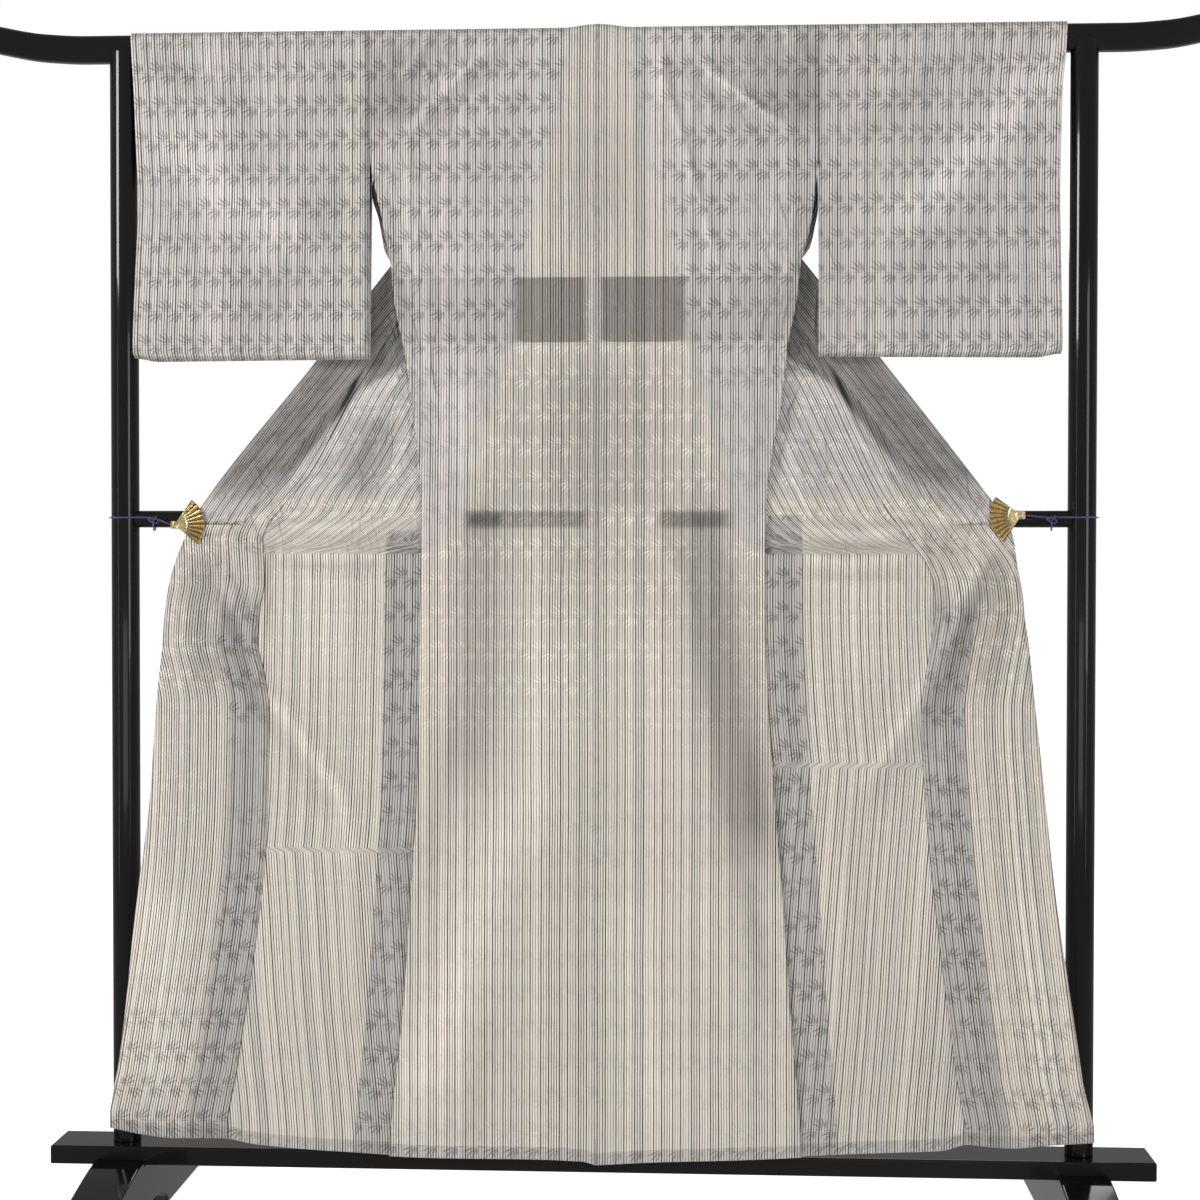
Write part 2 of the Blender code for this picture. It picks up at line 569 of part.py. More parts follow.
def clip(side, paint):
    """A pleated gilt fan on the front leaf of a small spring clip, the two leaves shut on the cloth edge."""
    sign = SIDES[side]
    cx, cz = CLIP_AT[side]
    front = table(DEPTH, FREE, cz) - CLOTH / 2 - GAP - 0.6
    low, high = FAN_SPREAD
    rings_in, rings_out = [], []
    count = FAN_RIBS * 2
    arc_points = []
    for k in range(count + 1):
        angle = math.radians(low + (high - low) * k / count + FAN_TURN[side])
        ridge = 1.6 if k % 2 else 0.0
        arc_points.append((angle, ridge))
    points, faces = [], []
    radii = (8.0, 17.0, 19.0, FAN_REACH)
    for depth_side in (0, 1):
        for radius in radii:
            for angle, ridge in arc_points:
                lift = ridge * radius / FAN_REACH
                y = front - 1.8 - lift - (1.4 if depth_side else 0.0) - (0.8 if radius == 17.0 and depth_side else 0)
                points.append((sign * (cx - radius * math.cos(angle)), y, cz + radius * math.sin(angle)))
    n = count + 1
    def at(d, r, k):
        return (d * len(radii) + r) * n + k
    for r in range(len(radii) - 1):
        for k in range(count):
            faces.append([at(0, r, k), at(0, r, k + 1), at(0, r + 1, k + 1), at(0, r + 1, k)])
            faces.append([at(1, r, k), at(1, r + 1, k), at(1, r + 1, k + 1), at(1, r, k + 1)])
    for k in range(count):
        faces.append([at(0, 0, k), at(1, 0, k), at(1, 0, k + 1), at(0, 0, k + 1)])
        last = len(radii) - 1
        faces.append([at(0, last, k), at(0, last, k + 1), at(1, last, k + 1), at(1, last, k)])
    for r in range(len(radii) - 1):
        faces.append([at(0, r, 0), at(0, r + 1, 0), at(1, r + 1, 0), at(1, r, 0)])
        faces.append([at(0, r, count), at(1, r, count), at(1, r + 1, count), at(0, r + 1, count)])
    fan = piece(f"fan_{side}", points, faces, paint, smooth=False)
    y0, y1 = front - 1.5, front
    leaf = []
    inner, outer = cx - 30, cx + 6
    def plate(name, ya, yb, xa, xb, za, zb):
        return loft(name, [[(sign * xa, y, z), (sign * xb, y, z), (sign * xb, y, z2), (sign * xa, y, z2)]
                           for y, z, z2 in ((ya, cz + za, cz + zb), (yb, cz + za, cz + zb))], paint, smooth=False)
    rear = front + 2 * (CLOTH / 2 + GAP) + 1.2
    jaw = [(outer, y0), (inner, y0), (inner, y1), (outer - 7, y1), (outer - 4, y1 + 1.0), (outer - 4, rear - 1.0),
           (outer - 7, rear), (inner, rear), (inner, rear + 1.2), (outer, rear + 1.2)]
    loft(f"jaw_{side}", [[(sign * x, y, cz + h) for x, y in jaw] for h in (-9, 9)], paint, smooth=False)
    return fan


def cord(side, paint):
    """A cord from the clip, looped once round the post behind the middle rail, and back to its knot."""
    sign = SIDES[side]
    cx, cz = CLIP_AT[side]
    r = POST_R + 2.2
    z = BRACE_Z + 2
    front = table(DEPTH, FREE, cz)
    rise = z - cz
    path = [(cx + 8, front - 0.3, cz + rise * 0.1), (cx + 18, front + 0.2, cz + rise * 0.45),
            (cx + 29, -18.4, cz + rise * 0.85), (cx + 40, -17.0, z), (POST_X - 34, -16.8, z), (POST_X - 21, -19.3, z)]
    for k in range(11):
        angle = math.radians(-120 + 240 * k / 10)
        path.append((POST_X + r * math.cos(angle), r * math.sin(angle), z))
    path += [(POST_X - 22, 17.5, z), (POST_X - 36, 15.6, z - 2), (POST_X - 41, 14.4, z - 8), (POST_X - 43, 7, z - 17.0),
             (POST_X - 44, 0, z - 18.6), (POST_X - 45, -8, z - 18.0), (POST_X - 46, -15.5, z - 10), (POST_X - 47, -17.6, z - 5)]
    data = bpy.data.curves.new(f"cord_{side}", "CURVE")
    data.dimensions = "3D"
    data.bevel_depth = 1.1 * MM
    data.bevel_resolution = 2
    data.use_fill_caps = True
    line = data.splines.new("POLY")
    line.points.add(len(path) - 1)
    for point, (x, y, zz) in zip(line.points, path):
        point.co = (sign * x * MM, y * MM, zz * MM, 1.0)
    data.materials.append(paint)
    made = bpy.data.objects.new(f"cord_{side}", data)
    KIMONO.objects.link(made)
    return made


def build():
    clear_scene()
    silk = material("pale grey silk", (0.62, 0.58, 0.54), 0.62)
    lacquer = material("black lacquer", (0.012, 0.011, 0.012), 0.12)
    gilt = material("gilt brass", (0.72, 0.50, 0.16), 0.28, 1.0)
    purple = material("purple cord", (0.10, 0.06, 0.22), 0.7)
    for side in SIDES:
        body(side, silk)
        okumi(side, silk)
        sleeve(side, silk)
        post(side, lacquer)
        foot(side, lacquer)
        clip(side, gilt)
        cord(side, purple)
    collar(silk)
    top_rail(lacquer)
    brace(lacquer)
    beam(lacquer)
    bpy.context.scene.collection.children.link(CUTTERS)


build()
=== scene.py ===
"""Silk kimono on a lacquered kimono stand: cloth, gilt clips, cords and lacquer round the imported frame.
Millimetres in the tables, metres in the meshes.  X right, Y away from the viewer of the back, Z up."""

import bmesh
import bpy
import math
import numpy as np
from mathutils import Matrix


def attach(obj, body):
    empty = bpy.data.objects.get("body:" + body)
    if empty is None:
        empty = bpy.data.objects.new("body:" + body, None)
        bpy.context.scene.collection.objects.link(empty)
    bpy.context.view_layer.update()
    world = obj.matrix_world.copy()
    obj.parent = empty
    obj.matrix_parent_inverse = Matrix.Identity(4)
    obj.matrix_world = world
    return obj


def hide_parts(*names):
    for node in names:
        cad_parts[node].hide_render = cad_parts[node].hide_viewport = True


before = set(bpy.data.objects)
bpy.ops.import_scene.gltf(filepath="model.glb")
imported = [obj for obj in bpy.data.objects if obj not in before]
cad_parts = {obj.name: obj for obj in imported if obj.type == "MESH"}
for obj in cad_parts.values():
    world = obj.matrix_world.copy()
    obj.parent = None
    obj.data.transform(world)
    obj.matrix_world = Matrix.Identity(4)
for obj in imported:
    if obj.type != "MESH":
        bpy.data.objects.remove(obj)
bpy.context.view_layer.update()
MM = 0.001

# -------------------------------------------------- camera
CAMERA_AT = (0.163, -3.001, 0.99)
CAMERA_TILT, CAMERA_ROLL, CAMERA_TURN = 0.01871, -0.0009, 0.05316
CAMERA_LENS, CAMERA_SENSOR = 61.2, 36.0


def make_camera():
    data = bpy.data.cameras.new("camera")
    data.sensor_width, data.lens = CAMERA_SENSOR, CAMERA_LENS
    data.clip_end = 60
    made = bpy.data.objects.new("camera", data)
    made.location = CAMERA_AT
    made.rotation_euler = (math.pi / 2 - CAMERA_TILT, CAMERA_ROLL, CAMERA_TURN)
    bpy.context.scene.collection.objects.link(made)
    bpy.context.scene.camera = made


make_camera()

WALL = 0.5             # thickness of the cloth that shows
HALF_WALL = 0.6        # half the thickness of the solid cloth
GAP = 0.3              # between neighbouring pieces
SEAM = 0.4             # half the opening between two sewn edges
CLEAR = 0.7            # how far an edge that laps over a seam stands off
SIDES = {"left": -1.0, "right": 1.0}

# -------------------------------------------------- stand sizes
RAIL_Z, RAIL_DEEP, RAIL_HIGH, RAIL_ROUND = 1749.0, 30.0, 40.0, 8.0
RAIL_RISE = [(0, 0), (760, 0), (822, 3.5), (883, 14), (925, 25), (955, 35)]       # out, rise of the end
POST_X, POST_R = 705.0, 20.5
BRACE_Z, BRACE_R = 1053.0, 12.5
CLEAR_OF_BRACE = -14.2       # depth of the cloth that hangs past the middle rail
BEAM_X, BEAM_DEEP, BEAM_LOW, BEAM_TOP = 810.0, 82.0, 97.0, 124.5
FOOT_WIDE = 74.0
FOOT_TOP = [(41.4, 105), (90, 98), (160, 83), (225, 66), (270, 55), (288, 42), (292, 24), (290, 0)]

# -------------------------------------------------- kimono sizes, by height above the floor
WRAP = RAIL_DEEP / 2 + 2.0                       # cloth middle in front of and behind the rail
TOP = RAIL_Z + RAIL_HIGH / 2 + 2.0               # cloth middle on top of the rail
CUFF_END = 1540.0                                # lower end of the cuff opening
POINT = 1312.0                                   # upper point of the okumi
COLLAR_END = 1046.0                              # lower end of the collar
COLLAR = 79.0                                    # collar band, measured level
NECK = 107.0                                     # half width of the back neck

# height, left out, right out
BACK_EDGE = [
    (1771, 334.5, 322.2), (1600, 334.5, 322.2), (1575, 333.5, 321.5), (1534, 326, 317), (1499, 318.5, 313),
    (1464, 312, 307), (1428, 305, 297), (1374, 300, 291), (1308, 286, 278), (1228, 273, 269),
    (1170, 266, 259), (1081, 258, 247), (934, 259, 245), (787, 261, 250), (640, 264, 260), (493, 273, 272),
    (347, 282, 282), (200, 296, 294), (110, 302, 299)]
FREE_EDGE = [
    (1762, 45, 38), (1287, 418, 414), (1069, 588, 580), (1045, 602, 597), (1022, 612, 604), (985, 626, 609),
    (948, 635, 616), (899, 641, 621), (874, 642.5, 625), (788, 651, 634), (637, 661, 650), (532, 674, 661),
    (457, 683, 671), (314, 697, 692), (215, 710, 706), (140, 717, 718)]
OKUMI_SEAM = [
    (1320, 316, 292), (1286, 333, 314), (1233, 366, 343), (1190, 388, 362), (1119, 427, 394),
    (1085, 456, 412), (1023, 496, 455), (989, 494, 480), (960, 493, 491), (923, 499, 494), (874, 502, 487),
    (822, 491, 478), (777, 484, 473), (638, 486, 480), (143, 544, 537)]
INNER_FOLD = [
    (1726, 39, 35), (1668, 49, 45), (1609, 62, 58), (1551, 74, 76), (1478, 89, 94), (1405, 103, 108),
    (1309, 125, 131), (1184, 162, 167), (1066, 194, 190), (1036, 214, 204), (1014, 232, 220),
    (1000, 262, 250), (985, 262, 250), (900, 262, 250)]
# out, height of the hem
HEM_LEFT = [(0, 111), (20, 116), (100, 118), (212, 117.5), (287, 119), (350, 122.5), (426, 126.5), (509, 134),
            (544, 141), (623, 140.5), (669, 145.5), (717, 155)]
HEM_RIGHT = [(0, 111), (87, 116.5), (197, 121), (297, 127), (370, 132), (444, 136), (503, 139.5), (537, 149),
             (569, 146), (601, 144.5), (644, 149), (718, 155)]

# height, depth of: back at centre, back at its edge, front at its edge, first layer, free edge, fold's turn
DEPTH = [(1771, -17, -17, 17, 17, 22, 3.0),
         (1740, -17, -17, 17, 17, 22.5, 3.4),
         (1690, -17.3, -17.1, 13.5, 16.3, 21.5, 4.6),
         (1640, -17.6, -17.3, 11, 15, 19, 5.0),
         (1575, -18, -17.5, 8, 13, 15, 4.2),
         (1500, -18.5, -15, 1, 9, 11, 4.0),
         (1464, -18.5, -12.5, -4, 7, 9, 4.0),
         (1428, -18.5, -10.5, -8.5, 5, 7.5, 4.0),
         (1350, -18.2, -13, -11, 0, 3.5, 4.0),
         (1287, -18, -15.5, -13.5, -4, 0, 3.8),
         (1150, -17, -20, -18, -11.5, -11, 3.0),
         (1080, -15.6, -23.4, -21.2, -19.2, -18, 2.2),
         (1053, -14.9, -24.2, -21.8, -20.6, -19.4, 2.2),
         (1020, -15.6, -24.6, -22.0, -20.8, -20, 2.2),
         (960, -18, -25.4, -22.6, -22.4, -22, 2.2),
         (900, -20.5, -26.2, -23.4, -23.4, -24.5, 1.9),
         (600, -31.5, -34.6, -31.7, -31.7, -34, 1.9),
         (300, -42, -43.6, -40.7, -40.7, -44, 1.9),
         (100, -50, -51, -48.1, -48.1, -51, 1.9)]
BACK_MID, BACK_SIDE, FRONT_SIDE, LAYER_ONE, FREE, TURN = 1, 2, 3, 4, 5, 6


# Folds of the hanging cloth: points (x, height), half width, height towards the viewer of the back
BACK_FOLDS = [
    ([(103, 1060), (132, 985), (151, 891), (170, 779), (191, 641), (232, 454), (251, 341)], 26, -5.0),
    ([(-187, 1037), (-196, 817), (-222, 666), (-246, 493)], 26, -4.0),
    ([(-75, 985), (-80, 820), (-90, 640)], 60, 5.0), ([(60, 985), (75, 820), (110, 560)], 45, 3.0),
    ([(-143, 1761), (-215, 1690), (-283, 1618)], 12, 4.0),
    ([(-110, 1750), (-170, 1690), (-220, 1640)], 14, -2.5),
    ([(135, 1730), (200, 1678), (262, 1622)], 15, 4.5), ([(105, 1735), (160, 1680), (215, 1630)], 14, -2.5),
    ([(92, 1740), (96, 1640)], 9, 3.0), ([(-40, 1755), (-15, 1740)], 6, 1.5),
    ([(-255, 1750), (-292, 1698)], 9, 3.0), ([(265, 1757), (296, 1698)], 9, 3.0),
    ([(-290, 1660), (-262, 1430), (-240, 1300)], 16, 3.5),
    ([(284, 1650), (255, 1430), (225, 1300)], 16, 3.0),
    ([(-190, 1240), (-150, 1180), (-60, 1150)], 14, 1.5), ([(150, 1240), (120, 1160)], 14, 1.5),
    ([(-30, 620), (-40, 250)], 26, 2.5), ([(60, 560), (90, 230)], 26, 2.5),
    ([(-150, 600), (-180, 260)], 30, 2.5)]
SHOULDER_FOLDS = [
    ([(-197, 1726), (-255, 1671)], 6, 2.6), ([(-247, 1644), (-275, 1620)], 5, 2.2),
    ([(-162, 1734), (-201, 1687)], 6, -1.8), ([(-142, 1706), (-177, 1671)], 6, 2.2),
    ([(-330, 1757), (-302, 1714)], 6, 2.6), ([(-298, 1753), (-279, 1733)], 5, 2.0),
    ([(-312, 1700), (-270, 1722)], 5, 1.8), ([(87, 1734), (118, 1624), (148, 1515), (194, 1367)], 8, 2.8),
    ([(100, 1725), (130, 1620), (160, 1520)], 8, -1.6), ([(148, 1710), (212, 1662), (272, 1624)], 7, 2.8),
    ([(118, 1741), (164, 1702)], 6, -1.8), ([(272, 1765), (290, 1732), (314, 1702)], 6, 3.2),
    ([(258, 1762), (276, 1728)], 6, -2.0), ([(-305, 1600), (-270, 1540)], 5, 1.8),
    ([(-310, 1560), (-285, 1490)], 5, 1.6), ([(-280, 1580), (-240, 1500)], 6, 1.5),
    ([(-250, 1520), (-268, 1450)], 5, 1.6), ([(-290, 1470), (-262, 1400)], 5, 1.6),
    ([(-225, 1500), (-240, 1440)], 5, 1.2), ([(300, 1600), (262, 1520)], 5, 1.8),
    ([(305, 1540), (275, 1470)], 5, 1.6), ([(262, 1500), (240, 1430)], 5, 1.4),
    ([(290, 1450), (262, 1380)], 5, 1.6), ([(240, 1450), (262, 1400)], 5, -1.2),
    ([(-40, 1560), (-52, 1440)], 6, 1.4), ([(20, 1600), (30, 1480)], 5, -1.2),
    ([(-255, 1330), (-240, 1230)], 5, 1.4), ([(250, 1330), (232, 1230)], 5, 1.4),
    ([(-235, 1200), (-228, 1110)], 5, 1.2), ([(228, 1200), (218, 1110)], 5, 1.2),
    ([(-60, 1075), (-20, 1030)], 5, -1.4), ([(-110, 1035), (-10, 1042)], 5, 1.3),
    ([(70, 1035), (110, 980), (150, 900)], 7, 1.8)]
CLIP_FOLDS = [
    ([(-598, 1040), (-552, 1043), (-518, 1056), (-470, 1050)], 6, 2.6),
    ([(-596, 1034), (-550, 1030), (-515, 1036)], 5, -2.0),
    ([(-590, 1060), (-530, 1105), (-470, 1170)], 7, 2.2),
    ([(-580, 1075), (-520, 1135), (-450, 1210)], 6, -1.8),
    ([(-560, 1060), (-500, 1086), (-440, 1130)], 6, 1.8),
    ([(-520, 1066), (-470, 1080), (-420, 1120)], 5, -1.6),
    ([(-500, 1045), (-460, 1062), (-420, 1058)], 5, 1.8),
    ([(-590, 1015), (-560, 985), (-530, 930)], 6, 2.0),
    ([(-480, 1075), (-455, 1020), (-458, 980)], 5, -1.8), ([(-470, 1070), (-440, 1035)], 5, 1.6),
    ([(-610, 1000), (-612, 930), (-606, 850)], 7, 1.6),
    ([(-350, 1060), (-318, 1050), (-290, 1062)], 5, 1.4), ([(-300, 965), (-262, 962)], 4, -1.4),
    ([(-400, 1200), (-380, 1130), (-340, 1090)], 6, 1.4),
    ([(588, 1052), (545, 1048), (508, 1056), (462, 1048)], 6, 2.6),
    ([(586, 1044), (540, 1038), (505, 1040)], 5, -2.0), ([(582, 1072), (522, 1115), (462, 1180)], 7, 2.2),
    ([(572, 1086), (512, 1145), (442, 1220)], 6, -1.8), ([(552, 1070), (492, 1096), (432, 1140)], 6, 1.8),
    ([(512, 1076), (462, 1090), (412, 1130)], 5, -1.6), ([(580, 1020), (552, 985), (520, 930)], 6, 2.0),
    ([(472, 1080), (448, 1025), (450, 985)], 5, -1.8), ([(600, 1000), (604, 930), (600, 850)], 7, 1.6),
    ([(290, 1045), (255, 1043)], 4, -1.4), ([(285, 980), (255, 977)], 4, -1.4),
    ([(392, 1210), (372, 1140), (332, 1100)], 6, 1.4)]
FRONT_FOLDS = [
    ([(-582, 1024), (-554, 958), (-518, 901), (-492, 798), (-458, 767), (-429, 723), (-373, 641),
     (-354, 529)], 20, 5.0), ([(-560, 1015), (-523, 950), (-500, 880), (-478, 790)], 14, -3.0),
    ([(576, 1039), (563, 1001), (544, 971), (531, 942), (518, 908), (497, 871), (468, 805), (430, 738),
     (387, 666)], 20, 5.0), ([(540, 1020), (505, 950), (488, 880)], 14, -3.0),
    ([(-470, 1046), (-400, 1040), (-320, 1046)], 12, 4.0),
    ([(-480, 1008), (-400, 1000), (-300, 1004)], 11, 3.0),
    ([(-450, 975), (-380, 962), (-300, 968)], 12, 2.5),
    ([(-440, 1025), (-360, 1020), (-300, 1026)], 8, -2.5),
    ([(300, 1040), (380, 1030), (470, 1040)], 12, 4.0), ([(290, 1000), (370, 990), (470, 1004)], 11, 3.0),
    ([(300, 962), (380, 955), (460, 960)], 12, 2.5), ([(300, 1020), (380, 1012), (450, 1018)], 8, -2.5),
    ([(-276, 1192), (-300, 1120), (-318, 1068)], 9, 4.0),
    ([(-364, 1232), (-396, 1165), (-440, 1090)], 9, 3.0),
    ([(-340, 1240), (-372, 1165), (-415, 1085)], 9, -2.5),
    ([(262, 1190), (290, 1118), (308, 1062)], 9, 4.0), ([(313, 1292), (352, 1200), (405, 1078)], 9, 3.5),
    ([(290, 1250), (330, 1170), (380, 1080)], 9, -2.5), ([(-600, 980), (-610, 760), (-640, 420)], 18, 3.0),
    ([(590, 980), (600, 760), (640, 420)], 18, 3.0), ([(-330, 900), (-350, 600), (-360, 300)], 22, 3.0),
    ([(340, 880), (350, 600), (380, 300)], 22, 3.0)]
SLEEVE_FOLDS = [
    ([(-650, 1728), (-580, 1690), (-500, 1655)], 16, -3.0),
    ([(-380, 1550), (-440, 1440), (-500, 1330)], 26, -4.0),
    ([(-600, 1560), (-520, 1480), (-430, 1400)], 26, 2.5), ([(-640, 1450), (-560, 1360)], 24, 2.0),
    ([(650, 1700), (560, 1600), (420, 1480)], 26, 3.5), ([(620, 1580), (520, 1460), (400, 1350)], 26, -3.5),
    ([(560, 1750), (470, 1680), (380, 1620)], 18, -3.0), ([(650, 1480), (560, 1380)], 24, 2.5),
    ([(-393, 1768), (-380, 1700)], 8, 2.5), ([(-260, 1768), (-250, 1720)], 8, 2.5),
    ([(385, 1768), (372, 1700)], 8, 2.5)]


BACK_FOLDS += SHOULDER_FOLDS
FRONT_FOLDS += CLIP_FOLDS
# how much higher a ridge stands than its table says
BACK_RAISE, FRONT_RAISE, SLEEVE_RAISE = 1.7, 1.5, 1.8


def stroke(x, z, points, wide, high, ends=0.14):
    """A soft stroke of that height along points, for arrays x and z."""
    spans = [math.dist(a, b) for a, b in zip(points, points[1:])]
    whole, walked = sum(spans), 0.0
    near = np.full(np.shape(x), 1e9)
    along = np.zeros(np.shape(x))
    for (x0, z0), (x1, z1), span in zip(points, points[1:], spans):
        t = np.clip(((x - x0) * (x1 - x0) + (z - z0) * (z1 - z0)) / (span * span), 0, 1)
        away = np.hypot(x - x0 - t * (x1 - x0), z - z0 - t * (z1 - z0))
        along = np.where(away < near, (walked + t * span) / whole, along)
        near = np.minimum(near, away)
        walked += span
    fade = np.clip(np.minimum(along, 1 - along) / ends, 0.0, 1.0) * 0.75 + 0.25
    return high * fade * np.exp(-1.4 * (near / wide) ** 2)


def strokes(x, z, rows):
    """All the strokes of a table that reach these heights, added up."""
    total = np.zeros(np.shape(x))
    low, top = np.min(z), np.max(z)
    for points, wide, high in rows:
        heights = [p[1] for p in points]
        if min(heights) - 2.4 * wide < top and max(heights) + 2.4 * wide > low:
            total += stroke(x, z, points, wide, high)
    return total


def raised(points, folds):
    """How far the folds lift each point towards the viewer of the back."""
    return strokes(np.array([p[0] for p in points]), np.array([p[2] for p in points]), folds)


def table(rows, column, key):
    """Value of a column at a key, by a smooth curve that keeps the run of the rows."""
    rows = sorted(rows)
    if key <= rows[0][0]:
        return rows[0][column]
    if key >= rows[-1][0]:
        return rows[-1][column]
    i = max(k for k in range(len(rows) - 1) if rows[k][0] <= key)

    def slope(k):
        if k <= 0 or k >= len(rows) - 1:
            before, after = rows[max(k - 1, 0)], rows[min(k + 1, len(rows) - 1)]
            return (after[column] - before[column]) / (after[0] - before[0])
        a = (rows[k][column] - rows[k - 1][column]) / (rows[k][0] - rows[k - 1][0])
        b = (rows[k + 1][column] - rows[k][column]) / (rows[k + 1][0] - rows[k][0])
        return 0.0 if a * b <= 0 else 2 * a * b / (a + b)

    h = rows[i + 1][0] - rows[i][0]
    t = (key - rows[i][0]) / h
    a, b = rows[i][column], rows[i + 1][column]
    return (a * (1 + 2 * t) * (1 - t) ** 2 + b * t * t * (3 - 2 * t)
            + h * (slope(i) * t * (1 - t) ** 2 - slope(i + 1) * t * t * (1 - t)))


def ease(t):
    t = min(1.0, max(0.0, t))
    return t * t * (3 - 2 * t)


def column_of(side):
    return 1 if side == "left" else 2


def hump(x):
    """The collar under the cloth lifts the middle of the back over the rail."""
    return 5.0 * ease(1 - abs(x) / 52)


# -------------------------------------------------- the fronts: one path across them at each height
def front_path(side, z):
    """Points (out, depth) from the side seam or armhole edge to the free edge, with marks along them."""
    col = column_of(side)
    edge = table(BACK_EDGE, col, z)
    free = table(FREE_EDGE, col, z)
    fold = min(table(INNER_FOLD, col, z), edge)
    if z > 1726:
        fold = min(free, 45.0)
    one, two, turn = (table(DEPTH, k, z) for k in (LAYER_ONE, FREE, TURN))
    start = table(DEPTH, FRONT_SIDE, z)
    inward = edge - fold
    points = []
    if inward > 6:
        near = min(70.0, 0.7 * inward)
        for k in range(17):
            a = (inward - turn) * k / 16
            points.append((edge - a, start + (one - start) * ease(a / near)))
        for k in range(1, 6):
            angle = math.pi * k / 5
            points.append((fold + turn - turn * math.sin(angle), one + turn - turn * math.cos(angle)))
        depth = one + 2 * turn
    else:
        points.append((edge - 2.0 + 2.0 * inward / 6, start))
        points.append((edge + 2.0, start))
        depth = start
    x0 = points[-1][0]
    steps = 24
    for k in range(1, steps + 1):
        t = k / steps
        x = x0 + (free - x0) * t
        rest = depth + (two - depth) * (t if inward > 6 else ease(t * 3))
        points.append((x, rest))
    along = [0.0]
    for (xa, ya), (xb, yb) in zip(points, points[1:]):
        along.append(along[-1] + math.hypot(xb - xa, yb - ya))
    tip = inward - turn + math.pi * turn / 2 if inward > 6 else 0.0
    return points, along, tip


def place(path, where):
    """Point (out, depth) at a length along a path."""
    points, along = path[0], path[1]
    where = min(max(where, 0.0), along[-1])
    for k in range(len(along) - 1):
        if where <= along[k + 1] or k == len(along) - 2:
            t = (where - along[k]) / max(1e-9, along[k + 1] - along[k])
            (xa, ya), (xb, yb) = points[k], points[k + 1]
            return xa + (xb - xa) * t, ya + (yb - ya) * t


def marks(side, z, path):
    """Path lengths of the okumi seam, the collar seam and the free edge."""
    col = column_of(side)
    end = path[1][-1]
    free = table(FREE_EDGE, col, z)
    collar = end - COLLAR * (1.0 if z < 1690 else 0.80 + 0.2 * ease((1771 - z) / 81))
    if z > POINT:
        return collar, collar, end
    okumi = end - (free - table(OKUMI_SEAM, col, z))
    return min(okumi, collar - 2.5), collar, end


# -------------------------------------------------- finer rows for the visible cloth
def levels(high, low, step):
    count = max(1, round(abs(high - low) / step))
    return [high + (low - high) * k / count for k in range(count + 1)]


def soft_front_row(side, z, segments=(18, 6, 26)):
    """Points and path lengths across a front from the side seam to the okumi or collar seam."""
    path = front_path(side, z)
    last = marks(side, z, path)[0] - SEAM
    tip, turn = path[2], table(DEPTH, TURN, z)
    first, bend, second = segments
    low = 45 + 70 * ease((980 - z) / 330)
    high = last - 12 - 80 * ease((z - 1640) / 60)
    middle = min(max(tip, low), high)
    half = min(math.pi * turn / 2, 10.0) if low <= tip <= high else 10.0
    wheres = [(middle - half) * k / first for k in range(first)]
    wheres += [middle - half + 2 * half * k / bend for k in range(bend)]
    wheres += [middle + half + (last - middle - half) * k / second for k in range(second + 1)]
    return [(*place(path, w), last - w) for w in wheres]


def hem_at(side, out):
    return table(HEM_LEFT if side == "left" else HEM_RIGHT, 1, out)


def to_hem(side, out, z, foot=240.0):
    """Below the foot height the rows close up onto the line of the hem."""
    if z >= foot:
        return z
    hem = hem_at(side, out)
    return hem + (foot - hem) * (z - 100.0) / (foot - 100.0)


RAIL_TOP_RUN = 2 * TOP + 34.0                     # cloth length over the rail, back height to front height
LOOKS = ("layers", "strip", "tuck", "tuckdark", "railband", "hem", "tone", "leaf", "crinkle")


class Sheet:
    """Rows of cloth points with their place in the weave and the painted looks at each point."""

    def __init__(self):
        self.rows, self.grain, self.looks = [], [], []

    def add(self, points, grain, looks):
        self.rows.append(points)
        self.grain.append(grain)
        self.looks.append(looks)

    def mesh(self, name, paint, leave=None, merge=None):
        rows, cols = len(self.rows), len(self.rows[0])
        points = np.array(self.rows, dtype=float).reshape(-1, 3)
        grain = np.array(self.grain, dtype=float).reshape(-1, 2)
        alias = {a[0] * cols + a[1]: b[0] * cols + b[1] for a, b in (merge or [])}
        faces = []
        for r in range(rows - 1):
            for c in range(cols - 1):
                if leave and leave(r, c):
                    continue
                d = c + 1
                corners = (r * cols + c, r * cols + d, (r + 1) * cols + d, (r + 1) * cols + c)
                corners = [alias.get(k, k) for k in corners]
                keep = [k for i, k in enumerate(corners) if k != corners[i - 1]]
                if len(keep) >= 3:
                    faces.append(keep)
        used = sorted({k for face in faces for k in face})
        index = {k: i for i, k in enumerate(used)}
        mesh = bpy.data.meshes.new(name)
        mesh.from_pydata((points[used] * MM).tolist(), [], [[index[k] for k in face] for face in faces])
        mesh.update()
        coords = mesh.uv_layers.new(name="grain")
        flat = np.zeros((len(mesh.loops), 2))
        for i, loop in enumerate(mesh.loops):
            flat[i] = grain[used[loop.vertex_index]] * MM
        coords.data.foreach_set("uv", flat.ravel())
        for k, look in enumerate(LOOKS):
            values = np.array([[cell[k] for cell in row] for row in self.looks], dtype=float)
            values = values.reshape(-1)[used]
            mesh.attributes.new(look, "FLOAT", "POINT").data.foreach_set("value", values.astype(np.float32))
        mesh.materials.append(paint)
        tidy = bmesh.new()
        tidy.from_mesh(mesh)
        bmesh.ops.remove_doubles(tidy, verts=tidy.verts, dist=0.00001)
        bmesh.ops.recalc_face_normals(tidy, faces=tidy.faces)
        tidy.to_mesh(mesh)
        tidy.free()
        for face in mesh.polygons:
            face.use_smooth = True
        made = bpy.data.objects.new(name, mesh)
        bpy.context.scene.collection.objects.link(made)
        shell = made.modifiers.new("wall", "SOLIDIFY")
        shell.thickness, shell.offset = WALL * MM, 0.0
        shell.use_even_offset, shell.use_rim = False, True
        return made


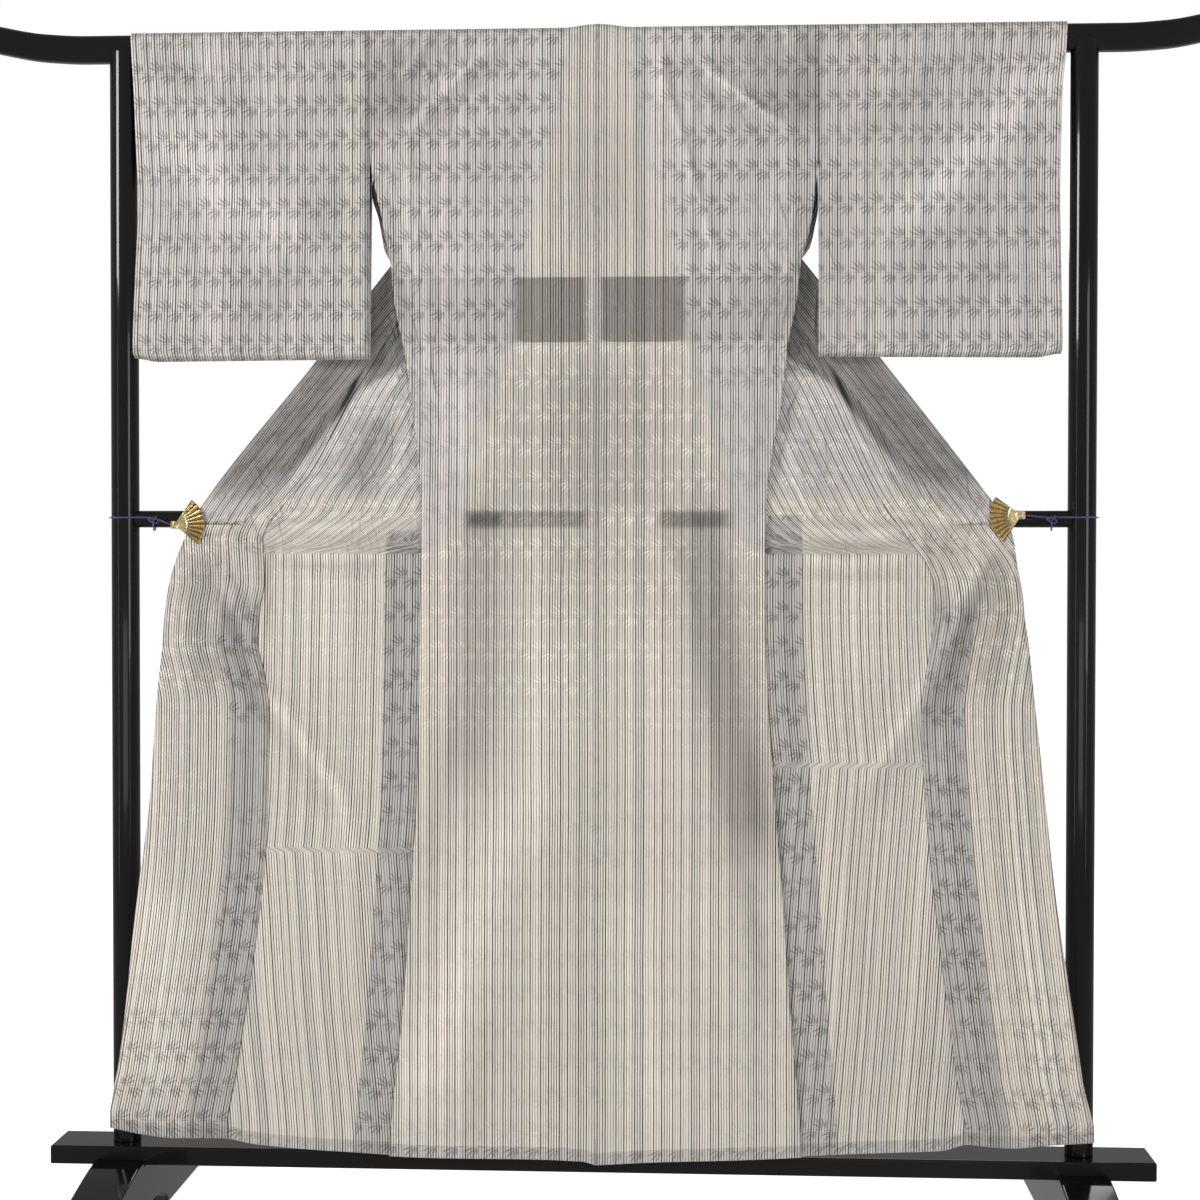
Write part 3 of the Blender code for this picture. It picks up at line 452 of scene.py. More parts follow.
# -------------------------------------------------- painted looks: layers seen through the sheer cloth, painted darker where less light comes through, with painted fold shade and highlights
# Painted shade and highlights for the back, the fronts and the sleeves: each stroke darkens (-) the cloth
# where a valley or recess lies in shade, or lightens (+) a ridge that the light falls on.
BACK_PAINTED_SHADING = [
    ([(96, 1060), (132, 985), (151, 891), (170, 779), (191, 641), (232, 454), (251, 341)], 18, -0.18),
    ([(150, 1090), (172, 960), (186, 850), (210, 720), (238, 540)], 40, -0.43),
    ([(225, 720), (245, 560)], 26, -0.08),
    ([(-187, 1037), (-196, 817), (-222, 666), (-246, 493)], 18, -0.10),
    ([(-172, 1090), (-165, 930), (-172, 790), (-200, 640)], 42, -0.27),
    ([(-90, 1020), (-60, 1000), (90, 1000), (150, 1030)], 26, -0.06),
    ([(-60, 900), (-65, 780), (-95, 600)], 55, 0.10), ([(80, 900), (100, 760), (140, 600)], 36, 0.08),
    ([(-110, 660), (-190, 420), (-280, 170)], 50, 0.22), ([(150, 560), (190, 330)], 26, 0.07),
    ([(0, 1290), (0, 1050)], 155, -0.24), ([(-205, 1270), (-190, 1110)], 40, 0.14),
    ([(0, 1640), (0, 1450)], 120, -0.09), ([(-190, 1500), (-150, 1620)], 60, -0.06),
    ([(-143, 1761), (-215, 1690), (-283, 1618)], 8, 0.24),
    ([(-125, 1750), (-190, 1685), (-250, 1625)], 15, -0.14), ([(-110, 1700), (-170, 1640)], 10, 0.12),
    ([(-95, 1690), (-150, 1632)], 12, -0.08), ([(-298, 1760), (-298, 1620)], 74, -0.32),
    ([(-215, 1765), (-228, 1730)], 40, -0.14), ([(298, 1760), (296, 1620)], 74, -0.30),
    ([(200, 1765), (225, 1720)], 44, -0.14), ([(135, 1730), (200, 1678), (262, 1622)], 8, 0.12),
    ([(115, 1725), (180, 1665), (235, 1610)], 15, -0.13), ([(92, 1740), (96, 1650)], 6, 0.20),
    ([(104, 1740), (108, 1640)], 9, -0.11), ([(-42, 1757), (-18, 1741)], 4, -0.14),
    ([(-255, 1752), (-292, 1698)], 6, 0.22), ([(268, 1757), (296, 1698)], 6, 0.22),
    ([(-240, 1764), (-268, 1700)], 7, -0.14), ([(-318, 1560), (-300, 1440), (-285, 1330)], 14, -0.13),
    ([(310, 1560), (292, 1440), (276, 1330)], 14, -0.13),
    ([(-290, 1420), (-260, 1240), (-240, 1090)], 16, -0.09),
    ([(282, 1420), (252, 1240), (232, 1090)], 16, -0.09),
    ([(-70, 1640), (-90, 1500), (-110, 1400)], 26, 0.06),
    ([(80, 1640), (100, 1500), (150, 1330)], 22, 0.09), ([(-196, 1052), (-136, 1052)], 14, -0.52),
    ([(10, 1052), (-130, 1052)], 14, -0.12), ([(95, 1052), (194, 1052)], 14, -0.32),
    ([(-150, 330), (-190, 120)], 24, -0.09), ([(60, 520), (90, 160)], 60, 0.10),
    ([(140, 520), (190, 200)], 30, 0.03), ([(-3, 1740), (-3, 110)], 3, -0.22),
    ([(4, 1740), (4, 110)], 4, 0.12)]
FRONT_PAINTED_SHADING = [
    ([(-582, 1024), (-554, 958), (-518, 901), (-492, 798), (-458, 767), (-429, 723), (-373, 641),
     (-354, 529)], 11, 0.22), ([(-584, 1020), (-549, 930), (-516, 850), (-490, 750)], 20, -0.30),
    ([(-594, 1000), (-588, 900), (-566, 790)], 34, -0.29),
    ([(-500, 780), (-440, 700), (-385, 610)], 22, -0.12),
    ([(576, 1039), (563, 1001), (544, 971), (531, 942), (518, 908), (497, 871), (468, 805), (430, 738),
     (387, 666)], 11, 0.22), ([(576, 1020), (541, 910), (508, 830), (480, 760)], 20, -0.28),
    ([(586, 1000), (580, 900), (560, 790)], 32, -0.25), ([(505, 790), (450, 710), (400, 640)], 22, -0.12),
    ([(-470, 1046), (-400, 1040), (-320, 1046)], 9, 0.16),
    ([(-480, 1008), (-400, 1000), (-300, 1004)], 10, 0.14),
    ([(-440, 1026), (-360, 1021), (-300, 1026)], 6, -0.16),
    ([(-470, 985), (-380, 982), (-300, 986)], 7, -0.12), ([(300, 1040), (380, 1030), (470, 1040)], 9, 0.16),
    ([(290, 1000), (370, 990), (470, 1004)], 10, 0.14), ([(300, 1021), (380, 1013), (450, 1019)], 6, -0.16),
    ([(300, 976), (380, 970), (450, 978)], 7, -0.10), ([(-480, 1030), (-486, 960), (-484, 880)], 6, -0.34),
    ([(-498, 1030), (-503, 960), (-508, 880)], 5, -0.26), ([(480, 1030), (490, 950), (484, 890)], 6, -0.30),
    ([(498, 1020), (505, 950), (508, 890)], 5, -0.22),
    ([(-274, 1194), (-300, 1120), (-316, 1068)], 6, 0.26),
    ([(-364, 1232), (-396, 1165), (-440, 1090)], 7, 0.12),
    ([(-347, 1286), (-391, 1183), (-452, 1095)], 6, -0.42), ([(-318, 1200), (-372, 1090)], 46, -0.33),
    ([(-310, 1215), (-338, 1130), (-350, 1075)], 30, -0.10),
    ([(262, 1190), (290, 1118), (306, 1062)], 6, 0.24), ([(313, 1292), (352, 1200), (405, 1078)], 6, 0.12),
    ([(338, 1286), (382, 1183), (443, 1095)], 6, -0.40), ([(314, 1190), (362, 1090)], 40, -0.18),
    ([(320, 1180), (370, 1110)], 20, 0.10), ([(-352, 1232), (-322, 1246), (-290, 1262)], 9, 0.16),
    ([(342, 1232), (314, 1246), (284, 1262)], 9, 0.14),
    ([(-340, 1280), (-364, 1217), (-390, 1167), (-448, 1112)], 7, 0.26),
    ([(332, 1280), (356, 1217), (382, 1167), (440, 1112)], 7, 0.24),
    ([(-560, 1060), (-500, 1040), (-430, 1055)], 5, -0.18),
    ([(560, 1060), (500, 1035), (430, 1050)], 5, -0.16), ([(-640, 900), (-655, 700)], 16, -0.06),
    ([(630, 900), (642, 700)], 16, -0.06), ([(-630, 520), (-655, 180)], 50, 0.24),
    ([(620, 520), (645, 180)], 50, 0.14), ([(-400, 980), (-400, 820)], 60, 0.10),
    ([(390, 980), (390, 820)], 60, 0.10)]
SLEEVE_PAINTED_SHADING = [
    ([(-660, 1735), (-590, 1695), (-510, 1655)], 18, -0.14),
    ([(-380, 1545), (-440, 1440), (-510, 1320)], 34, -0.15),
    ([(-650, 1640), (-560, 1540), (-420, 1440)], 44, 0.24),
    ([(-350, 1740), (-420, 1650), (-520, 1560)], 26, -0.08), ([(-645, 1440), (-600, 1330)], 22, 0.07),
    ([(-345, 1700), (-345, 1300)], 14, -0.10), ([(-570, 1380), (-560, 1300)], 10, 0.12),
    ([(-600, 1345), (-585, 1295)], 8, -0.10), ([(-670, 1760), (-672, 1700)], 10, -0.10),
    ([(-560, 1760), (-470, 1735), (-380, 1755)], 16, -0.08),
    ([(655, 1720), (560, 1600), (430, 1480)], 34, 0.30),
    ([(560, 1500), (480, 1440), (400, 1350)], 26, -0.08),
    ([(560, 1750), (470, 1680), (370, 1600)], 24, -0.12),
    ([(650, 1460), (560, 1360), (500, 1310)], 26, 0.05), ([(600, 1420), (450, 1310)], 30, -0.10),
    ([(345, 1560), (345, 1300)], 12, -0.08), ([(-393, 1770), (-385, 1720)], 6, 0.20),
    ([(-407, 1768), (-400, 1716)], 6, -0.16), ([(385, 1770), (374, 1720)], 6, 0.20),
    ([(398, 1768), (392, 1716)], 6, -0.14)]
# The relief folds of the shoulders and the clips again, as painted shade and highlight.
BACK_PAINTED_SHADING += [(points, wide * 0.9, high * 0.055) for points, wide, high in SHOULDER_FOLDS]
FRONT_PAINTED_SHADING += [(points, wide * 0.9, high * 0.06) for points, wide, high in CLIP_FOLDS]
CRINKLES = [
    ([(-305, 1540), (-290, 1400), (-250, 1180)], 60, 0.9),
    ([(298, 1540), (282, 1400), (242, 1180)], 60, 0.9), ([(-250, 1740), (-180, 1620)], 80, 0.55),
    ([(250, 1740), (180, 1620)], 80, 0.55), ([(0, 1600), (0, 1100)], 120, 0.15),
    ([(-600, 1060), (-520, 1080), (-470, 1020)], 50, 1.1),
    ([(590, 1060), (510, 1080), (460, 1020)], 50, 1.1), ([(-330, 1230), (-330, 1080)], 50, 0.7),
    ([(320, 1230), (320, 1080)], 50, 0.7), ([(-560, 1000), (-500, 820)], 30, 0.5),
    ([(550, 1000), (495, 820)], 30, 0.5), ([(-400, 1040), (-330, 960)], 50, 0.5),
    ([(400, 1040), (330, 960)], 50, 0.5), ([(-60, 1060), (-40, 960)], 60, 0.5),
    ([(150, 1060), (190, 900)], 40, 0.5), ([(-390, 1750), (-350, 1600)], 30, 0.4),
    ([(380, 1750), (350, 1600)], 30, 0.4)]


OFF, SINGLE = -9, -40                            # far outside a doubled place, far outside the doubled layers
HEM_BAND = 18                                    # height of the doubled hem
# Painted darker where less light comes through the sheer cloth: the tuck's layers and the middle rail behind
# the back.
TUCK_LOW, TUCK_TOP = 1311, 1406                  # the dark tuck in the upper back
RAIL_LOW, RAIL_HIGHER = 1040, 1065               # the middle rail showing through the back


def back_looks(side, out, z, edge):
    """Distances inside each doubled place of the back, x, and how light (+) or dark (-) its leaves are
    painted, standing in for their sheen and the light through the cloth.
    """
    x = SIDES[side] * out
    col = column_of(side)
    fold = min(table(INNER_FOLD, col, z), edge)
    away = out - fold if z > 985 else SINGLE
    layers = away if z > 1300 else away - 4
    faint = 294 if side == "left" else 286
    dark_in, dark_out = (17, 121) if side == "left" else (5, 128)
    tuck = min(z - TUCK_LOW, TUCK_TOP - z, (faint - out) * 0.3)
    dark = min(z - TUCK_LOW, TUCK_TOP - z, (out - dark_in) * 0.25, (dark_out - out) * 0.16)
    span = (13, 190) if side == "left" else (91, 194)
    band = min(z - RAIL_LOW, RAIL_HIGHER - z, (out - span[0]) * 0.5, (span[1] - out) * 0.3)
    seam = 0.07 * (7 - out) - 0.5
    deep = ease((1060 - z) / 40) * ease((z - 560) / 260)
    if z < 985:
        leaf = 0.75 * deep - 0.10
    elif z <= 1000:
        leaf = 0.85 * deep
    elif away > 0:
        leaf = -0.95 * ease(away / 20) * (0.35 + 0.65 * ease((z - 1180) / 200))
    else:
        leaf = (0.2 + 0.8 * ease((1450 - z) / 130)) * ease((30 - away) / 60)
    return [layers, seam, tuck, dark, band, HEM_BAND - (z - hem_at(side, out)), x, leaf]


def front_looks(side, out, z, edge, seam_run, okumi):
    """seam_run is the cloth length from the okumi seam; positive on the body, negative on the okumi."""
    outside = out - edge
    strip = min(outside, 54 - outside, ((1036 if side == "left" else 1058) - z) / 4)
    if okumi:
        strip = min(60 + seam_run, (930 - z) / 40)
    layers = (z - 1090) / 3 if z > 985 else SINGLE
    # How light (+) or dark (-) the leaves are painted, standing in for their sheen and the light through the
    # cloth.
    leaf = 0.45 if z < 1190 else 0.45 - 1.2 * ease((z - 1190) / 60)
    if okumi:
        leaf = 0.5 if z < 1000 else -0.6
    if z < 1000:
        leaf -= 1.3 * ease((620 - z) / 420) * (1 if okumi else 0.2)
    inside = table(FREE_EDGE, column_of(side), z) - out
    if z > 1085 and inside < 106:
        leaf = -0.3
    elif 1045 < z < 1260:
        leaf = 1.0
    elif out > 540 and 780 < z < 1045:
        leaf = 0.9
    return [layers, strip, OFF, OFF, OFF, HEM_BAND - (z - hem_at(side, out)), SIDES[side] * out, leaf]


def dimmed(side, out, z):
    """Painted shade: the band along the free edge above the clips turns away from the light, and the pocket
    below the sleeve lies in shadow.
    """
    inside = table(FREE_EDGE, column_of(side), z) - out
    band = -0.50 * ease((108 - inside) / 14) * ease((z - 1066) / 60)
    band -= 0.16 * ease((inside - 70) / 22) * ease((104 - inside) / 6) * ease((z - 1110) / 60)
    pocket_shadow = -0.60 * ease((z - 1239 - (348 - out) * 0.64) / 10) * ease((352 - out) / 8)
    return min(band, pocket_shadow)


def finish_painted_shading(sheet, rows_of_shading):
    """Turns the x kept in the painted shading column into the painted shade and highlights of the strokes."""
    points = np.array(sheet.rows, dtype=float)
    for r, looks in enumerate(sheet.looks):
        zs = points[r][:, 2]
        xs = np.array([cell[6] for cell in looks])
        kinds = [cell[8] for cell in looks]
        for kind in set(kinds):
            values, puckers = strokes(xs, zs, rows_of_shading[kind]), strokes(xs, zs, CRINKLES)
            for i in [i for i, own_kind in enumerate(kinds) if own_kind == kind]:
                painted = float(values[i]) + (looks[i][9] if len(looks[i]) > 9 else 0.0)
                looks[i] = looks[i][:6] + [painted, looks[i][7], float(puckers[i])]


# height, how far the front shows past the back inside the armhole
ARMHOLE_SHOW = [
    (1640, 0, 0), (1575, 0, 0), (1524, 10, 6), (1500, 7, 8), (1476, 6, 7), (1446, 6, 7), (1432, 0, 0),
    (90, 0, 0)]


def across_back(edge, k, cells, neck):
    """Distance out of column k, from the back's edge to the neck's edge and on to the centre seam."""
    if k <= cells:
        return edge + (NECK - edge) * k / cells
    return NECK + (GAP / 2 - NECK) * (k - cells) / neck


def make_body(side, paint):
    """One length of cloth: up the back, over the rail and down the front to the okumi or collar seam."""
    sign, col = SIDES[side], column_of(side)
    cells, neck = 50, 18
    sheet = Sheet()
    for z in levels(100, 240, 8) + levels(240, 1040, 8)[1:] + levels(1040, 1735, 6)[1:]:
        edge = table(BACK_EDGE, col, z)
        points, grain, looks = [], [], []
        for k in range(cells + neck + 1):
            out = across_back(edge, k, cells, neck)
            high = to_hem(side, out, z)
            mid, rim = table(DEPTH, BACK_MID, high), table(DEPTH, BACK_SIDE, high)
            apart = min(table(INNER_FOLD, col, high), edge) if high > 990 else edge
            start = edge + (apart - edge) * ease((1250 - high) / 80)
            depth = rim + (mid - rim) * ease((start - out) / 95)
            points.append([sign * out, depth, high + (hump(out) if high > 1740 else 0)])
            grain.append((sign * out, high))
            looks.append(back_looks(side, out, high, edge) + [0])
        lift = raised(points, BACK_FOLDS)
        for p, h in zip(points, lift):
            lifted = h if h < 0 else BACK_RAISE * h
            p[1] -= lifted * ease((edge - abs(p[0])) / 30) * ease((1745 - p[2]) / 40)
            if abs(p[2] - BRACE_Z) < 45:
                p[1] = min(p[1], CLEAR_OF_BRACE)
        sheet.add(points, grain, looks)
    for run, (y, z) in enumerate(WRAP_FINE):
        edge = table(BACK_EDGE, col, z)
        points, grain, looks = [], [], []
        for k in range(cells + neck + 1):
            out = across_back(edge, k, cells, neck)
            points.append([sign * out, y, z + hump(out)])
            grain.append((sign * out, WRAP_RUN[run]))
            looks.append(back_looks(side, out, 1760, edge) + [0])
        sheet.add(points, grain, looks)
    back_rows = len(sheet.rows) - 1
    full = soft_front_row(side, 1040)[0][2]
    heights = levels(1735, 1640, 5) + levels(1640, POINT + 0.1, 8)[1:] + levels(POINT - 0.1, 900, 6)
    heights += levels(900, 240, 8)[1:] + levels(240, 100, 8)[1:]
    for z in heights:
        points, grain, looks = [], [], []
        deep = max(z, 130)
        edge = table(BACK_EDGE, col, deep)
        row = soft_front_row(side, deep)
        for out, depth, run in row:
            out += table(ARMHOLE_SHOW, col, z) * ease(1 - (row[0][2] - run) / 40)
            high = to_hem(side, out, z)
            points.append([sign * out, depth, high])
            follow = (row[0][2] - full) * ease((z - 1040) / 80)
            grain.append((sign * (row[0][2] - run - follow - 330), RAIL_TOP_RUN - high))
            looks.append(front_looks(side, out, high, edge, run, False) + [1, dimmed(side, out, high)])
        lift = raised(points, FRONT_FOLDS)
        for p, h in zip(points, lift):
            p[1] -= (h if h < 0 else FRONT_RAISE * h) * ease((abs(p[0]) - edge - 8) / 30)
        for _ in range(neck):
            points.append(points[-1])
            grain.append(grain[-1])
            looks.append(looks[-1])
        sheet.add(points, grain, looks)
    finish_painted_shading(sheet, {0: BACK_PAINTED_SHADING, 1: FRONT_PAINTED_SHADING})
    return sheet.mesh(f"silk_body_{side}", paint, leave=lambda r, c: c >= cells and r >= back_rows)


def arc_points():
    """The cloth over the rail, from its back side to its front side."""
    points = [(-WRAP, TOP - 22), (-WRAP, TOP - 10)]
    for k in range(1, 7):
        a = math.pi / 2 * k / 6
        points.append((-WRAP + 10 - 10 * math.cos(a), TOP - 10 + 10 * math.sin(a)))
    points += [(0, TOP)]
    for k in range(0, 6):
        a = math.pi / 2 * (1 - k / 6)
        points.append((WRAP - 10 + 10 * math.cos(a), TOP - 10 + 10 * math.sin(a)))
    return points + [(WRAP, TOP - 10)]


WRAP_FINE = arc_points()
WRAP_RUN = [WRAP_FINE[0][1]]
for _a, _b in zip(WRAP_FINE, WRAP_FINE[1:]):
    WRAP_RUN.append(WRAP_RUN[-1] + math.dist(_a, _b))


def make_okumi(side, paint):
    """The tapering front length, lapped a little over the body's edge at its seam."""
    sign, col = SIDES[side], column_of(side)
    sheet, steps = Sheet(), 0
    heights = levels(POINT - 0.2, COLLAR_END - 1, 6) + levels(COLLAR_END - 1.6, 240, 7)
    for z in heights + levels(240, 100, 7)[1:]:
        deep = max(z, 140)
        path = front_path(side, deep)
        seam, collar, end = marks(side, deep, path)
        if z > COLLAR_END - 1.3:
            steps += 1
        else:
            collar = end - COLLAR + 10 * ease((1000 - z) / 400)
        edge = table(BACK_EDGE, col, deep)
        points, grain, looks = [], [], []
        for k in range(21):
            where = (seam + GAP / 2 + (collar - GAP - seam) * k / 12 if k <= 12
                     else collar - GAP / 2 + (end - collar + GAP / 2) * (k - 12) / 8)
            out, depth = place(path, where - (2.0 if k == 0 else 0.0))
            high = to_hem(side, out, z)
            points.append([sign * out, depth - (CLEAR if k == 0 else 0.0), high])
            run = seam - where + (2.0 if k == 0 else 0.0)
            grain.append((sign * (run + 900), RAIL_TOP_RUN - high))
            looks.append(front_looks(side, out, high, edge, run, True) + [1, dimmed(side, out, high)])
        lift = raised(points, FRONT_FOLDS)
        for p, h in zip(points, lift):
            lifted = h if h < 0 else FRONT_RAISE * h
            p[1] -= lifted * ease((table(FREE_EDGE, col, p[2]) - abs(p[0])) / 40 + 0.4)
        sheet.add(points, grain, looks)
    finish_painted_shading(sheet, {0: BACK_PAINTED_SHADING, 1: FRONT_PAINTED_SHADING})
    return sheet.mesh(f"silk_okumi_{side}", paint, leave=lambda r, c: c >= 12 and r < steps)


# Painted shade and highlights on the collar band, with the clip folds again as painted shade and highlight.
COLLAR_PAINTED_SHADING = [
    ([(-372, 1300), (-452, 1180), (-530, 1085)], 16, -0.12),
    ([(364, 1300), (444, 1180), (522, 1085)], 16, -0.12), ([(-500, 1100), (-560, 1060)], 30, -0.14),
    ([(492, 1100), (552, 1060)], 30, -0.12), ([(-600, 1056), (-560, 1058)], 20, 0.14),
    ([(594, 1062), (556, 1062)], 20, 0.14)]
COLLAR_PAINTED_SHADING += [(points, wide * 0.9, high * 0.06) for points, wide, high in CLIP_FOLDS]


def collar_rows(side):
    """Rows across the collar from its lower end up to the neck, then round half of the neck."""
    rows = []
    for z in [COLLAR_END - 1.5] + levels(COLLAR_END + 6, 1692, 9):
        path = front_path(side, z)
        seam, end = marks(side, z, path)[1] + SEAM, path[1][-1]
        half = math.pi * table(DEPTH, TURN, z) / 2
        bend_in, bend_out = max(path[2] - half, seam + 6), max(path[2] + half, seam + 14)
        flat = ease((seam - path[2] - half) / 40)
        bend_in += (seam + (end - seam) * 0.5 - bend_in) * flat
        bend_out += (seam + (end - seam) * 0.8 - bend_out) * flat
        wheres = [seam, (seam * 2 + bend_in) / 3, (seam + 2 * bend_in) / 3, bend_in, (bend_in + bend_out) / 2,
                  bend_out, end]
        wheres[0] -= 1.6
        row = [(out, depth, z) for out, depth in (place(path, w) for w in wheres)]
        row[0] = (row[0][0], row[0][1] - CLEAR, z)
        rows.append(row)
    path = front_path(side, 1735)
    join = place(path, marks(side, 1735, path)[1] + GAP)[0]
    half_way = join + (NECK - join) * 0.55
    top = table(FREE_EDGE, column_of(side), 1729)
    rows += [
        [(join, 17.4, 1735), (join * 0.7 + 13, 17.6, 1729), (join * 0.3 + 31, 17.8, 1722), (45, 18, 1714.5),
         (41.5, 21.3, 1711.5), (45, 24.6, 1714.5), (top, 24, 1729)],
        [(half_way - 1.5, 17.4, 1748.5), (84, 17.6, 1742), (65, 17.8, 1733), (44, 18, 1723),
         (40.5, 21.2, 1720), (44, 24.4, 1723), (top - 13, 24, 1745)],
        [(NECK - 3, 17.4, 1758.4), (93, 17.6, 1752), (70, 17.8, 1742), (38, 18, 1731), (35, 21, 1728),
         (38, 24, 1731), (top - 27, 24, 1756)],
        [(66, 17.4, 1758.4), (56, 17.6, 1750), (42, 17.8, 1741), (27, 18, 1735), (25, 21, 1731),
         (27, 24, 1735), (27, 24, 1762)],
        [(32, 17.4, 1758.4 + hump(32)), (27, 17.6, 1751), (20, 17.8, 1743), (14, 18, 1736), (13, 21, 1731),
         (14, 24, 1736), (14, 24, 1762)]]
    return rows


def make_collar(paint):
    """One band from clip to clip, folded lengthwise, round the neck."""
    middle = [(0, 17.4, 1763.4), (0, 17.6, 1753), (0, 17.8, 1744), (0, 18, 1736), (0, 21, 1731),
              (0, 24, 1736), (0, 24, 1762)]
    rows = [[(-x, y, z) for x, y, z in row] for row in collar_rows("left")] + [middle]
    rows += collar_rows("right")[::-1]
    fine = []
    for r, row in enumerate(rows[:-1]):
        steps = 4 if max(row[0][2], rows[r + 1][0][2]) > 1700 else 1
        for k in range(steps):
            fine.append([tuple(a + (b - a) * k / steps for a, b in zip(p, q))
                         for p, q in zip(row, rows[r + 1])])
    fine.append(rows[-1])
    sheet, run = Sheet(), 0.0
    for r, row in enumerate(fine):
        if r:
            centre, before = ([(a + b) / 2 for a, b in zip(line[0], line[6])] for line in (row, fine[r - 1]))
            run += math.dist(centre, before)
        points, grain, looks = [], [], []
        across = 0.0
        for c in range(6):
            parts = 2 if c < 5 else 6
            for k in range(parts):
                t = k / parts
                p = [a + (b - a) * t for a, b in zip(row[c], row[c + 1])]
                if points:
                    across += math.dist(p, points[-1])
                points.append(p)
                grain.append((across + 400, run))
        across += math.dist(row[6], points[-1])
        points.append(list(row[6]))
        grain.append((across + 400, run))
        for p in points:
            side = "left" if p[0] < 0 else "right"
            looks.append([12, OFF, OFF, OFF, OFF, OFF, p[0], -0.45, 2, dimmed(side, abs(p[0]), p[2])])
        sheet.add(points, grain, looks)
    finish_painted_shading(sheet, {2: COLLAR_PAINTED_SHADING})
    return sheet.mesh("silk_collar", paint)


# -------------------------------------------------- sleeves
# height, left out, right out of the outer edge; height, back wall depth, rear wall depth, closed edge depth
SLEEVE_EDGE = [(1771, 690.5, 678), (1740, 689, 677), (1670, 685, 671), (1600, 682.5, 669.5), (1523, 681, 669),
               (1405, 685.5, 671), (1302, 689, 673), (1287, 685, 669)]
SLEEVE_WALLS = [
    (1771, -17, 17, 0), (1740, -17, 17, 0), (1668, -17.6, 12.5, -6), (1575, -18.4, 8, -10),
    (1500, -18.8, 3.5, -12.5), (1400, -19.4, -4, -14.5), (1300, -19.8, -10, -15.8), (1287, -19.8, -11, -16)]
SLEEVE_INNER = {"left": 334.8, "right": 322.5}
SLEEVE_LOW = {"left": (1287.6, 1285.0), "right": (1288.6, 1286.0)}
SLEEVE_ACROSS = [0.9 * k / 26 for k in range(27)] + [0.925, 0.95, 0.97, 0.985, 0.993, 1.0]


def sleeve_walls(f, z):
    """Depths of the near and far walls at f of the sleeve's width; equal where it is sewn shut."""
    back, rear, shut = (table(SLEEVE_WALLS, k, z) for k in (1, 2, 3))
    roll = 2.4 if z < CUFF_END + 1 else 2.4 + (back - shut + 2.4) * -ease((z - CUFF_END + 18) / 110)
    near = ease((f - 0.55) / 0.44)
    back += (min(shut - roll, shut - 2.4) - back) * near
    rear += (shut + roll - rear) * near * ease((CUFF_END + 150 - z) / 150)
    if f > 0.995 and z <= CUFF_END:
        return shut, shut
    return back, rear


def make_sleeve(side, paint):
    """A folded bag over the rail: cuff open above, sewn shut below and at the bottom, open by the body."""
    sign, col = SIDES[side], column_of(side)
    inner, heights = SLEEVE_INNER[side], levels(1298, CUFF_END, 11) + levels(CUFF_END, 1735, 11)[1:]
    sheet = Sheet()
    for f in SLEEVE_ACROSS:
        inside, outside = SLEEVE_LOW[side]
        low = inside + (outside - inside) * f + 5.5 * ease((f - 0.9) / 0.1)
        a, b = sleeve_walls(f, 1292)
        ring = [(low, (a + b) / 2, low)]
        ring += [(z, sleeve_walls(f, z)[0], z) for z in heights]
        ring += [(z, y, run) for (y, z), run in zip(WRAP_FINE[1:], WRAP_RUN[1:])]
        ring += [(z, sleeve_walls(f, z)[1], RAIL_TOP_RUN - z) for z in reversed(heights)]
        ring += [(low, (a + b) / 2, RAIL_TOP_RUN - low)]
        points, grain, looks = [], [], []
        for z, depth, run in ring:
            outer = table(SLEEVE_EDGE, col, z)
            out = inner + (outer - inner) * f
            points.append([sign * out, depth, z])
            grain.append((sign * (inner + 352 * f + 600), run))
            looks.append([14, 7 - (out - inner) * 0.9, OFF, OFF, OFF, 7 - (z - low), sign * out, -0.9, 3])
        lift = raised(points, SLEEVE_FOLDS)
        for i, (p, h) in enumerate(zip(points, lift * SLEEVE_RAISE)):
            if p[1] < 0 and i < len(ring) / 2:
                p[1] -= (max(h, -2.0) * ease(f / 0.1) * ease((0.9 - f) / 0.2) * ease((1742 - p[2]) / 30)
                         * ease((p[2] - low - 6) / 60))
        sheet.add(points, grain, looks)
    finish_painted_shading(sheet, {3: SLEEVE_PAINTED_SHADING})
    last, n = len(sheet.rows) - 1, len(sheet.rows[0])
    merge = [((last, n - 2 - i), (last, i + 1)) for i, z in enumerate(heights) if z <= CUFF_END]
    return sheet.mesh(f"silk_sleeve_{side}", paint, merge=merge)


# -------------------------------------------------- shader helpers
class Value:
    """A shader value: sums and products of values add Math nodes."""

    def __init__(self, paint, socket):
        self.paint, self.socket = paint, socket

    def math(self, operation, *others):
        return self.paint.node("ShaderNodeMath", {"operation": operation}, self, *others)

    def __add__(self, other):
        return self.math("ADD", other)

    def __sub__(self, other):
        return self.math("SUBTRACT", other)

    def __mul__(self, other):
        return self.math("MULTIPLY", other)

    def __truediv__(self, other):
        return self.math("DIVIDE", other)

    def __rsub__(self, other):
        return self.paint.node("ShaderNodeMath", {"operation": "SUBTRACT"}, other, self)

    __radd__, __rmul__ = __add__, __mul__

    def part(self):
        return self.math("FRACT")

    def size(self):
        return self.math("ABSOLUTE")

    def over(self, low, high):
        """0 below low, 1 above high, smooth between; low may be the larger."""
        return self.paint.node("ShaderNodeMapRange", {"interpolation_type": "SMOOTHSTEP"}, self, low, high,
                               0.0, 1.0)


